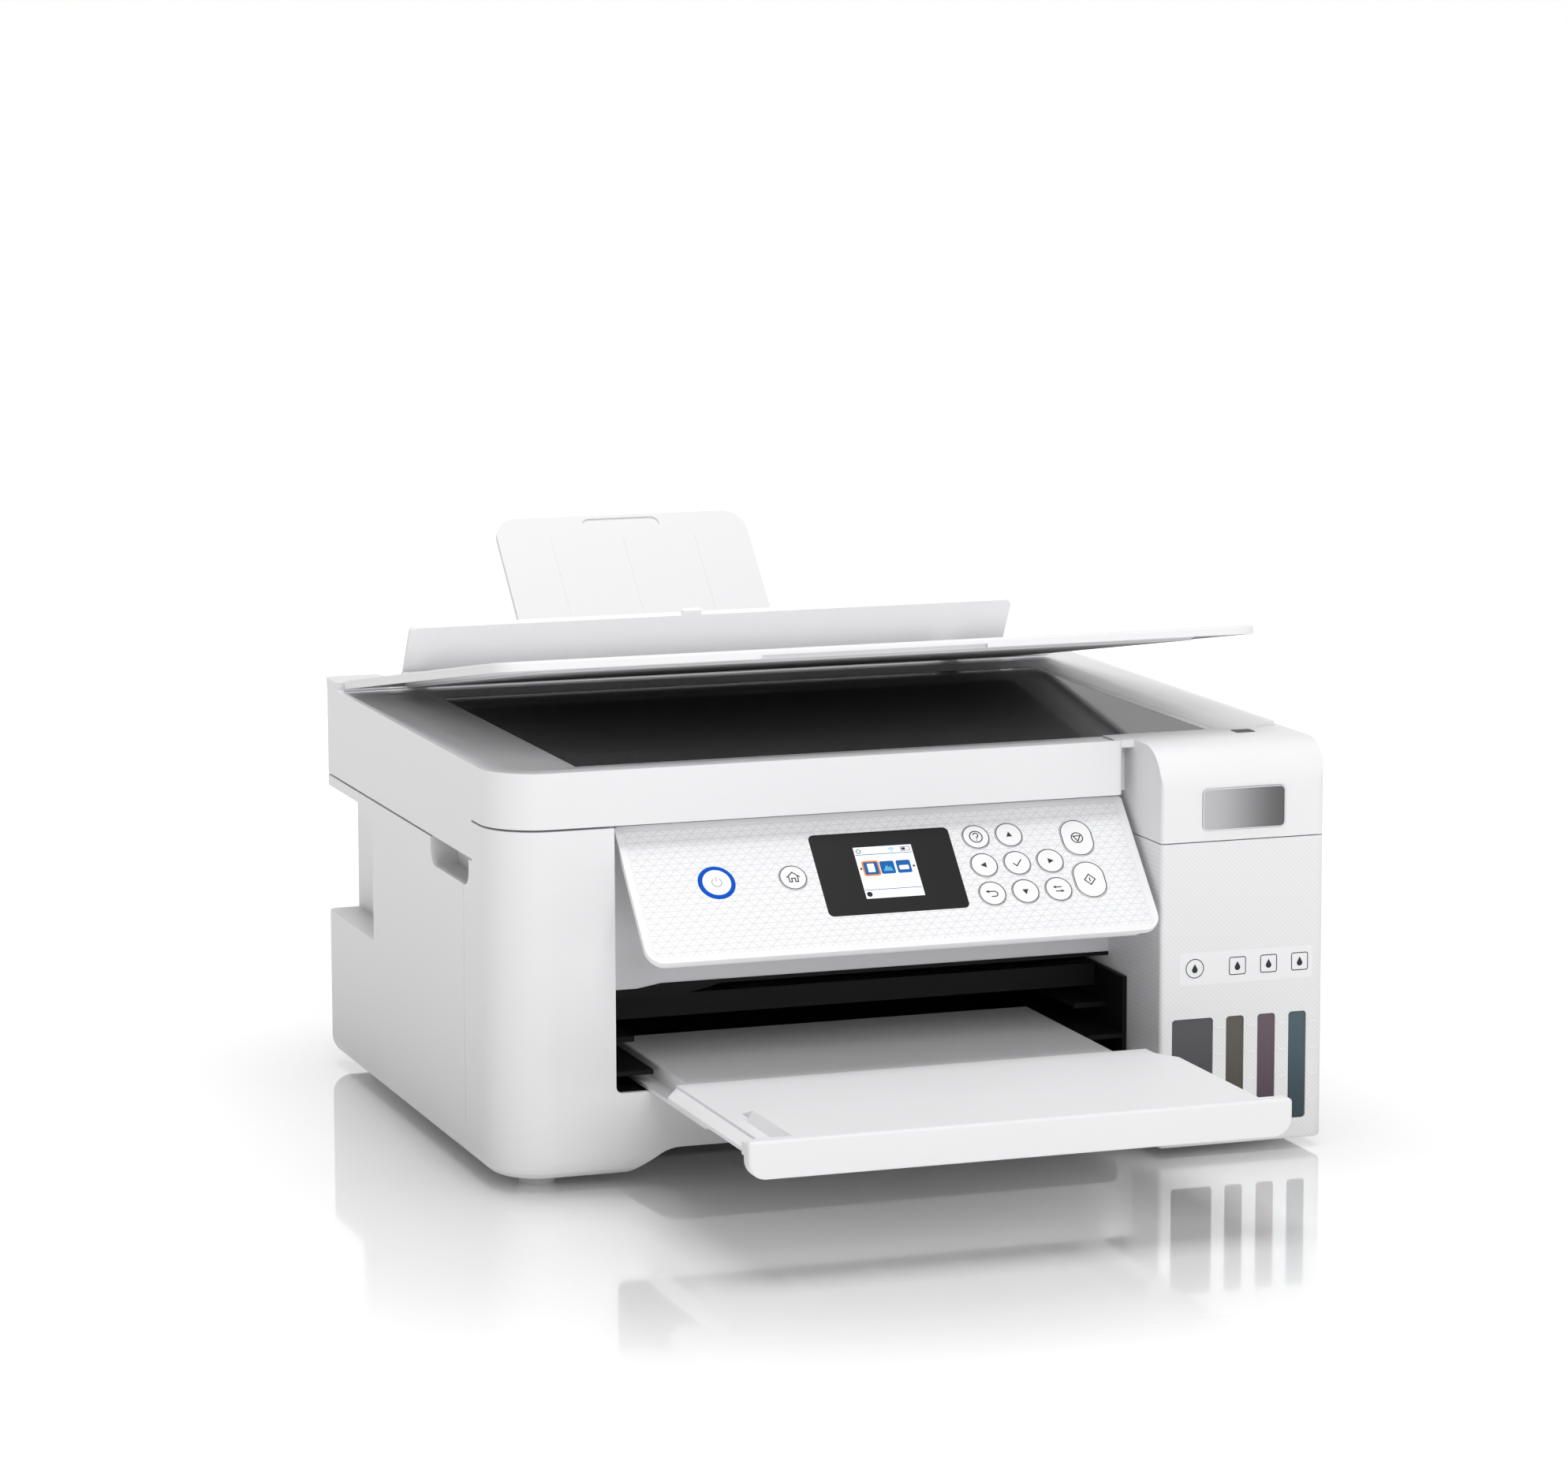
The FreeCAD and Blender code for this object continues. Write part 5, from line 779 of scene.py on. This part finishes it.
def sign_shape(sign: Sign) -> list[Polygon]:
    """Outline of a pictogram about a key's centre, in millimetres.

    Args:
        sign: The pictogram.

    Returns:
        Its polygons.
    """
    line = 0.5
    lap = 352
    arrows = {Sign.UP: 90, Sign.LEFT: 180, Sign.RIGHT: 0, Sign.DOWN: -90}
    if sign in arrows:
        return [arrow_head(0, 0, 1.7, arrows[sign])]
    if sign is Sign.POWER:
        return Flat.stroke(Flat.arc(0, 0, 2.2, 125, 415), line) + Flat.stroke([(0, 0.6), (0, 2.8)], line)
    if sign is Sign.HOME:
        roof = Flat.stroke([(-3.0, 0.1), (0, 2.7), (3.0, 0.1)], line)
        wall = Flat.stroke([(-2.0, 0.6), (-2.0, -2.2), (-0.8, -2.2), (-0.8, -0.4), (0.8, -0.4), (0.8, -2.2),
                            (2.0, -2.2), (2.0, 0.6)], line)
        return roof + wall
    if sign is Sign.HELP:
        circle = Flat.stroke(Flat.arc(0, 0, 2.9, 0, lap), line, True)
        hook = Flat.stroke(Flat.arc(0, 0.8, 1.1, 170, -60) + [(0, -0.9)], line)
        return circle + hook + [Flat.ring(0, -1.75, 0.28, 12)]
    if sign is Sign.OK:
        return Flat.stroke([(-2.0, 0.0), (-0.5, -1.6), (2.2, 1.7)], line)
    if sign is Sign.BACK:
        hook = [(-1.8, 1.0), (1.0, 1.0)] + Flat.arc(1.0, -0.3, 1.3, 90, -90, 12) + [(-0.8, -1.6)]
        return Flat.stroke(hook, line) + [arrow_head(-2.0, 1.0, 1.0, 180)]
    if sign is Sign.SWAP:
        return (Flat.stroke([(-1.2, 1.1), (1.6, 1.1)], line) + [arrow_head(-1.6, 1.1, 0.9, 180)]
                + Flat.stroke([(-1.6, -1.1), (1.2, -1.1)], line) + [arrow_head(1.6, -1.1, 0.9, 0)])
    if sign is Sign.STOP:
        circle = Flat.stroke(Flat.arc(0, 0, 2.6, 0, lap), line, True)
        return circle + Flat.stroke(Flat.arc(0, 0, 1.9, -90, 150, 2), line, True)
    diamond = [(0, -2.7), (2.5, 0), (0, 2.7), (-2.5, 0)]
    return Flat.stroke(diamond, line, True) + Flat.stroke([(0, -1.0), (0, 1.0)], line)


@dataclass
class ControlPanel:
    """Tilting panel with its window, lit picture, keys and signs."""

    proud: float = 0.3
    key_radius: float = 5.95
    ring_steps: int = 60
    rim_line: float = 0.4
    pill_half: Point = (7.05, 9.15)
    pill_corner: float = 6.95
    pill_steps: int = 12
    print_height: float = 0.04
    lcd_middle: Point = (-12.8, -26.0)
    lcd_face: float = 6.10
    lcd_half: float = 13.2
    lcd_line: float = 0.3
    lcd_bars: Point = (9.4, -8.9)
    tile_half: float = 3.3
    tile_up: float = 2.2
    tile_x: Triple = (-7.6, 0.0, 7.6)
    keys: dict[str, Sign] = field(default_factory=lambda: {sign.value: sign for sign in Sign})

    def dress(self) -> None:
        """Paint the panel's CAD nodes."""
        paint_node("panel_plate", PANEL_WHITE)
        paint_node("panel_back", SMOOTH_WHITE)
        paint_node("display_window", WINDOW_BLACK)
        paint_node("lcd_screen", LCD_WHITE)
        paint_node("power_ring", RING_BLUE)
        for key in self.keys:
            paint_node(key + "_button", POWER_WHITE if key == "power" else KEY_WHITE)

    def build(self) -> None:
        """Add the printed signs, the key outlines and the display's picture."""
        for key, sign in self.keys.items():
            self._key_print(key, sign)
        self._picture()

    def _key_print(self, key: str, sign: Sign) -> None:
        """Print one key's outline and sign on its face.

        Args:
            key: Name of the key.
            sign: Its pictogram.
        """
        joint = next(j for j in frame["joints"] if j["name"] == key + "_press")
        face = Vector(joint["pos_m"])
        up = SITE.panel(0, 1, 0) - SITE.panel(0, 0, 0)
        out = SITE.panel(0, 0, 1) - SITE.panel(0, 0, 0)

        def place(u: float, v: float, height: float) -> Vector:
            """Point on the key's face."""
            return face + Vector((u * MM, 0, 0)) + up * v + out * (self.proud + height)

        def show(part: str, shapes: list[Polygon], finish: Finish) -> None:
            """Print shapes on the key."""
            make_piece(key + part, shapes, place, 0.0, self.print_height, finish, "key_" + key,
                       "white_plastic")

        show("_sign", sign_shape(sign), PALE_PRINT if sign is Sign.POWER else PRINT_GREY)
        if sign is Sign.POWER:
            return
        if sign in (Sign.STOP, Sign.START):
            half_w, half_h = self.pill_half
            loop = Flat.rounded(-half_w, -half_h, half_w, half_h, self.pill_corner, self.pill_steps)
        else:
            loop = Flat.ring(0, 0, self.key_radius, self.ring_steps)
        show("_outline", Flat.stroke(loop, self.rim_line, True), PRINT_GREY)

    def _picture(self) -> None:
        """Generic menu picture: a status bar, three tiles, the chosen one framed, and two arrows."""

        def place(u: float, v: float, height: float) -> Vector:
            """Point on the display."""
            return SITE.panel(self.lcd_middle[0] + u, self.lcd_middle[1] + v, self.lcd_face + height)

        def show(name: str, shapes: list[Polygon], finish: Finish, layer: int) -> None:
            """Add one layer of the picture."""
            make_piece("lcd_" + name, shapes, place, 0.0, self.print_height * layer, finish, "panel", "lcd")

        line, half, up = self.lcd_line, self.tile_half, self.tile_up
        bars: list[Polygon] = []
        for v in self.lcd_bars:
            bars += Flat.stroke([(-self.lcd_half, v), (self.lcd_half, v)], line)
        show("bars", bars, LCD_BLUE, 1)
        tiles = [Flat.rounded(x - half, up - half, x + half, up + half, 0.8) for x in self.tile_x]
        show("tiles", tiles, LCD_BLUE, 1)
        first, edge = self.tile_x[0], half + line
        choice = Flat.rounded(first - edge, up - edge, first + edge, up + edge, 0.9)
        show("choice", Flat.stroke(choice, 0.7, True), LCD_ORANGE, 2)
        show("sheet", [Flat.rounded(-9.2, 0.2, -6.0, 4.6, 0.3)], LCD_WHITE, 2)
        show("hill", [[(-2.2, 0.4), (-0.4, 3.4), (0.6, 2.0), (1.2, 2.8), (2.4, 0.4)]], LCD_SKY, 2)
        show("flap", [Flat.rounded(5.4, 0.6, 9.8, 2.8, 0.4)], LCD_WHITE, 2)
        show("arrows", [arrow_head(-12.3, up, 0.9, 180), arrow_head(12.3, up, 0.9, 0)], LCD_DARK, 1)
        roof = Flat.stroke([(-12.6, 11.4), (-11.4, 12.5), (-10.2, 11.4)], line)
        wall = Flat.stroke([(-12.2, 11.6), (-12.2, 10.3), (-10.6, 10.3), (-10.6, 11.6)], line)
        show("home", roof + wall, LCD_DARK, 1)
        waves: list[Polygon] = []
        for radius in (1.9, 1.1):
            waves += Flat.stroke(Flat.arc(4.0, 10.3, radius, 45, 135, 8), 0.4)
        show("waves", waves + [Flat.ring(4.0, 10.5, 0.3, 10)], LCD_SKY, 1)
        gauge = Flat.stroke(Flat.rounded(8.2, 10.4, 12.6, 12.4, 0.3), 0.25, True)
        show("level", gauge + [Flat.rounded(8.7, 10.8, 10.4, 12.0, 0.1)], LCD_DARK, 1)
        show("dot", [Flat.ring(-11.6, -11.1, 1.3, 20)], LCD_DARK, 1)


@dataclass
class TankBlock:
    """Right front block with ink windows, marks and the badge above."""

    front: float = -31.0
    badge: Box = (315.3, 147.1, 355.2, 166.0)
    badge_corner: float = 2.6
    badge_height: float = 0.5
    rim_inset: float = 0.35
    rim_corner: float = 2.3
    rim_line: float = 0.4
    rim_top: float = 0.7
    label: Box = (305.0, 78.0, 369.4, 92.6)
    label_corner: float = 1.6
    label_height: float = 0.12
    mark_z: float = 85.5
    mark_line: float = 0.4
    mark_layer: Point = (0.1, 0.16)
    ring_radius: float = 4.2
    ring_steps: int = 60
    square_half: float = 3.9
    square_corner: float = 0.9
    drop_sink: float = 0.5
    marks: dict[str, float] = field(default_factory=lambda: {
        "black": 312.3, "yellow": 332.9, "magenta": 348.0, "cyan": 363.1})
    dash: Triple = (4.4, 0.8, 0.9)
    dash_x: tuple[float, ...] = (324.8, 339.8, 354.8, 369.6)
    dash_count: int = 4
    dash_foot: float = 22.0
    dash_step: float = 12.0

    def dress(self) -> None:
        """Paint the block, its tanks and caps."""
        paint_node("tank_housing", TANK_WHITE)
        for colour, finish in INKS.items():
            paint_node("ink_tank_" + colour, finish)
            paint_node("tank_cap_" + colour, finish)

    def place(self, u: float, v: float, height: float) -> Vector:
        """Point on the block's front face."""
        return SITE.corner(u, self.front - height, v)

    def build(self) -> None:
        """Add the badge, the label with its marks and the level dashes."""
        self._badge()
        self._label()
        for i, x in enumerate(self.dash_x):
            BarRow("level_marks_%d" % i, Vector(self.dash) * MM, self.dash_count,
                   SITE.corner(x, self.front, self.dash_foot), Vector((0, 0, self.dash_step * MM)),
                   SMOOTH_WHITE, "base", "white_plastic").build()

    def _badge(self) -> None:
        """Bare silver plate with a thin rim; its tone runs from light at the left to dark at the right as a
        painted sheen.
        """
        x0, z0, x1, z1 = self.badge
        inset = self.rim_inset
        make_piece("badge_plate", [Flat.rounded(x0, z0, x1, z1, self.badge_corner)], self.place, 0.0,
                   self.badge_height, SILVER, "scanner_unit", "steel")
        edge = Flat.rounded(x0 + inset, z0 + inset, x1 - inset, z1 - inset, self.rim_corner)
        make_piece("badge_rim", Flat.stroke(edge, self.rim_line, True), self.place, self.badge_height,
                   self.rim_top, STEEL, "scanner_unit", "steel")

    def _label(self) -> None:
        """Label above the windows, with one framed drop for each ink."""
        make_piece("mark_label", [Flat.rounded(*self.label, self.label_corner)], self.place, 0.0,
                   self.label_height, SMOOTH_WHITE, "base", "white_plastic")
        half, z = self.square_half, self.mark_z
        shapes: list[Polygon] = []
        for colour, x in self.marks.items():
            if colour == "black":
                edge = Flat.ring(x, z, self.ring_radius, self.ring_steps)
            else:
                edge = Flat.rounded(x - half, z - half, x + half, z + half, self.square_corner)
            shapes += Flat.stroke(edge, self.mark_line, True)
            shapes.append(self._drop(x, z - self.drop_sink))
        make_piece("tank_marks", shapes, self.place, *self.mark_layer, PRINT_GREY, "base", "black_plastic")

    @staticmethod
    def _drop(x: float, z: float) -> Polygon:
        """Ink drop about a point."""
        return Flat.arc(x, z - 0.2, 1.35, 150, 390, 20) + [(x, z + 2.6)]


@dataclass
class ScannerUnit:
    """Scanner unit with bed, glass, lid and guard."""

    mark: Box = (347.0, 3.5, 356.3, 11.7)
    mark_corner: float = 1.2
    mark_height: float = 0.15
    top: float = 184.4

    def dress(self) -> None:
        """Paint the unit's CAD nodes."""
        for node in ("scanner_case", "lid_cover"):
            paint_node(node, WHITE)
        paint_node("scanner_bed", SMOOTH_WHITE)
        paint_node("scanner_glass", BED_GLASS)
        paint_node("lid_pad", PAINTED_SHADE_MAT)
        paint_node("feeder_guard", GUARD_PAINTED_LIGHT_WHITE)
        paint_node("scan_carriage", BLACK)

    def place(self, u: float, v: float, height: float) -> Vector:
        """Point on the unit's top."""
        return SITE.corner(u, v, self.top + height)

    def build(self) -> None:
        """Add the alignment mark on the unit's top."""
        make_piece("bed_mark", [Flat.rounded(*self.mark, self.mark_corner)], self.place, 0.0,
                   self.mark_height, PRINT_GREY, "scanner_unit", "black_plastic")


@dataclass
class LowerCase:
    """Lower case with the paper path, trays and works."""

    whites: tuple[str, ...] = ("main_case", "output_tray", "tray_extension", "rear_cover", "rear_feed_tray",
                               "paper_support")
    blacks: tuple[str, ...] = ("inner_frame", "cap_station", "power_supply", "ac_inlet", "print_carriage",
                               "exit_roller")
    greys: tuple[str, ...] = ("edge_guide_left", "edge_guide_right", "idler_gear", "motor_pinion",
                              "drive_pulley", "idler_pulley")
    steels: tuple[str, ...] = ("chassis", "carriage_motor", "feed_motor", "case_screws")
    lip_wall: float = 29.5
    lip_layer: Point = (-0.2, 0.4)
    lip_x: Point = (53.3, 295.9)
    lip_rows: tuple[Triple, ...] = ((0, 77.7, 81.6), (19, 77.7, 81.6), (30, 77.7, 83.4), (40, 77.7, 83.4),
                                    (58, 81.7, 83.4))
    port: Point = (12.0, 10.8)
    port_rim: float = 1.5
    port_corner: float = 0.7
    port_steps: int = 4
    port_layer: Point = (-0.1, 0.15)
    grip_bar: Triple = (7.0, 1.4, 1.4)
    grip_count: int = 7
    grip_step: float = 3.5
    grip_inset: float = 14.0
    grip_sink: float = 1.3

    def dress(self) -> None:
        """Paint the case's CAD nodes."""
        for nodes, finish in ((self.whites, WHITE), (self.blacks, BLACK), (self.greys, GREY),
                              (self.steels, STEEL), (("guide_rod", "feed_roller"), POLISHED),
                              (("carriage_belt",), RUBBER), (("rubber_feet",), FOOT),
                              (("main_board",), BOARD)):
            for node in nodes:
                paint_node(node, finish)

    def build(self) -> None:
        """Add the black lip under the inner wall, the data port's rim and the rear cover's grip ribs."""
        self._frame_lip()
        self._port_shell()
        self._grips()

    def _frame_lip(self) -> None:
        """Black lip along the lower edge of the white wall in the front opening."""
        start, end = self.lip_x
        rows = [(start + x, low, high) for x, low, high in self.lip_rows]
        rows.append((end, *self.lip_rows[-1][1:]))
        runs = [[(a[0], a[1]), (b[0], b[1]), (b[0], b[2]), (a[0], a[2])] for a, b in zip(rows, rows[1:])]

        def place(u: float, v: float, height: float) -> Vector:
            """Point on the wall's front."""
            return SITE.corner(u, self.lip_wall - height, v)

        make_piece("frame_lip", runs, place, *self.lip_layer, BLACK, "base", "black_plastic")

    def _port_shell(self) -> None:
        """Metal rim on the rear face of the data port."""
        low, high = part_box("main_board")
        middle = (low.x + high.x) / 2
        half_w, half_h = (size / 2 - self.port_rim / 2 for size in self.port)
        rim = Flat.rounded(-half_w, -half_h, half_w, half_h, self.port_corner, self.port_steps)
        centre = high.z - self.port[1] / 2 * MM

        def place(u: float, v: float, height: float) -> Vector:
            """Point on the port's rear face."""
            return Vector((middle - u * MM, high.y + height * MM, centre + v * MM))

        make_piece("port_rim", Flat.stroke(rim, self.port_rim, True), place, *self.port_layer, STEEL, "base",
                   "steel")

    def _grips(self) -> None:
        """Grip ribs at both ends of the rear cover."""
        low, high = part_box("rear_cover")
        inset = self.grip_inset * MM
        lowest = (low.z + high.z) / 2 - self.grip_step * (self.grip_count - 1) / 2 * MM
        for side, x in (("left", low.x + inset), ("right", high.x - inset)):
            BarRow("cover_grip_" + side, Vector(self.grip_bar) * MM, self.grip_count,
                   Vector((x, high.y - self.grip_sink * MM, lowest)), Vector((0, 0, self.grip_step * MM)),
                   SMOOTH_WHITE, "cover", "white_plastic").build()


@dataclass
class Studio:
    """Camera, floor and soft light of the photograph."""

    yaw: float = 19.1109
    pitch: float = 8.8117
    roll: float = -0.1751
    lens: float = 122.96
    sensor: float = 36.0
    sight: float = 100.0
    stand: Triple = (-621.88, -2172.19, 553.46)
    floor_half: float = 9.0
    floor_glow: float = 0.24
    far_glow: float = 2.4
    glow_reach: Point = (0.1, 0.5)
    far_reach: Point = (0.45, 1.2)
    mirror_reach: Point = (0.24, 0.58)
    mirror_roughness: Point = (0.05, 0.6)
    coat_roughness: float = 0.05
    ambient: float = 0.31
    key_spot: Triple = (150, -2200, 1200)
    key_size: float = 1.6
    key_power: float = 22.0
    top_spot: Triple = (187, 0, 2400)
    top_size: float = 1.4
    top_power: float = 31.0
    aim: Triple = (187, 130, 90)

    def build(self) -> None:
        """Set up camera, floor, sky and lights."""
        self._camera()
        self._floor()
        self._sky()
        self._area("key_light", self.key_spot, self.key_size, self.key_power)
        self._area("top_light", self.top_spot, self.top_size, self.top_power)

    def _camera(self) -> None:
        """Camera at the photograph's place and angle."""
        yaw, pitch, roll = (math.radians(a) for a in (self.yaw, self.pitch, self.roll))
        ahead = Vector((math.sin(yaw) * math.cos(pitch), math.cos(yaw) * math.cos(pitch), -math.sin(pitch)))
        right = Vector((math.cos(yaw), -math.sin(yaw), 0.0))
        up = right.cross(ahead)
        cos, sin = math.cos(roll), math.sin(roll)
        right, up = cos * right + sin * up, cos * up - sin * right
        data = bpy.data.cameras.new("photo_camera")
        data.sensor_fit = "HORIZONTAL"
        data.sensor_width = self.sensor
        data.lens = self.lens
        data.clip_end = self.sight
        camera = bpy.data.objects.new("photo_camera", data)
        turn = Matrix((right, up, -ahead)).transposed().to_4x4()
        camera.matrix_world = Matrix.Translation(SITE.corner(*self.stand)) @ turn
        bpy.context.scene.collection.objects.link(camera)
        bpy.context.scene.camera = camera

    def _floor(self) -> None:
        """Pale floor that mirrors near the printer and turns matt and brighter away from it."""
        half = self.floor_half
        corners = [(-half, -half, 0), (half, -half, 0), (half, half, 0), (-half, half, 0)]
        mesh = bpy.data.meshes.new("studio_floor")
        mesh.from_pydata(corners, [], [(0, 1, 2, 3)])
        floor = bpy.data.objects.new("studio_floor", mesh)
        material = PAINT.get(FLOOR)
        tree = material.node_tree
        shader = tree.nodes["Principled BSDF"]
        where = tree.nodes.new("ShaderNodeTexCoord")
        length = tree.nodes.new("ShaderNodeVectorMath")
        length.operation = "LENGTH"
        tree.links.new(where.outputs["Object"], length.inputs[0])
        away = length.outputs["Value"]
        glow = Groups.math(tree, "ADD", Groups.rise(tree, away, self.glow_reach),
                           Groups.rise(tree, away, self.far_reach, (0.0, self.far_glow)))
        mirror = Groups.rise(tree, away, self.mirror_reach, (1.0, 0.0))
        roughness = Groups.rise(tree, away, self.mirror_reach, self.mirror_roughness)
        tree.links.new(glow, shader.inputs["Emission Color"])
        tree.links.new(mirror, shader.inputs["Coat Weight"])
        tree.links.new(roughness, shader.inputs["Roughness"])
        shader.inputs["Coat Roughness"].default_value = self.coat_roughness
        shader.inputs["Emission Strength"].default_value = self.floor_glow
        floor.data.materials.append(material)
        bpy.context.scene.collection.objects.link(floor)

    def _sky(self) -> None:
        """Sky that is white where it is seen or mirrored, and softer as light."""
        world = bpy.data.worlds.new("studio_sky")
        world.use_nodes = True
        tree = world.node_tree
        sky = tree.nodes["Background"]
        sky.inputs["Color"].default_value = (1.0, 1.0, 1.0, 1.0)
        path = tree.nodes.new("ShaderNodeLightPath")
        either = Groups.math(tree, "MAXIMUM", path.outputs["Is Camera Ray"], path.outputs["Is Glossy Ray"])
        seen = Groups.math(tree, "MULTIPLY", either, 1.0 - self.ambient)
        tree.links.new(Groups.math(tree, "ADD", seen, self.ambient), sky.inputs["Strength"])
        bpy.context.scene.world = world
        bpy.context.scene.view_settings.view_transform = "Standard"

    def _area(self, name: str, spot: Triple, size: float, power: float) -> None:
        """Soft square light that looks at the printer's middle.

        Args:
            name: Name of the light.
            spot: Its place, in millimetres from the left front corner.
            size: Length of its sides, in metres.
            power: Its power in watts.
        """
        data = bpy.data.lights.new(name, "AREA")
        data.size = size
        data.energy = power
        light = bpy.data.objects.new(name, data)
        light.location = SITE.corner(*spot)
        line = SITE.corner(*self.aim) - light.location
        light.rotation_euler = line.to_track_quat("-Z", "Y").to_euler()
        bpy.context.scene.collection.objects.link(light)


def main() -> None:
    """Dress every sub-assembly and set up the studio."""
    logging.basicConfig(level=logging.INFO, format="%(message)s")
    for assembly in (LowerCase(), TankBlock(), ScannerUnit(), ControlPanel()):
        assembly.dress()
        assembly.build()
        LOG.info("dressed %s", type(assembly).__name__)
    Studio().build()
    bpy.context.view_layer.update()


if __name__ == "__main__":
    main()
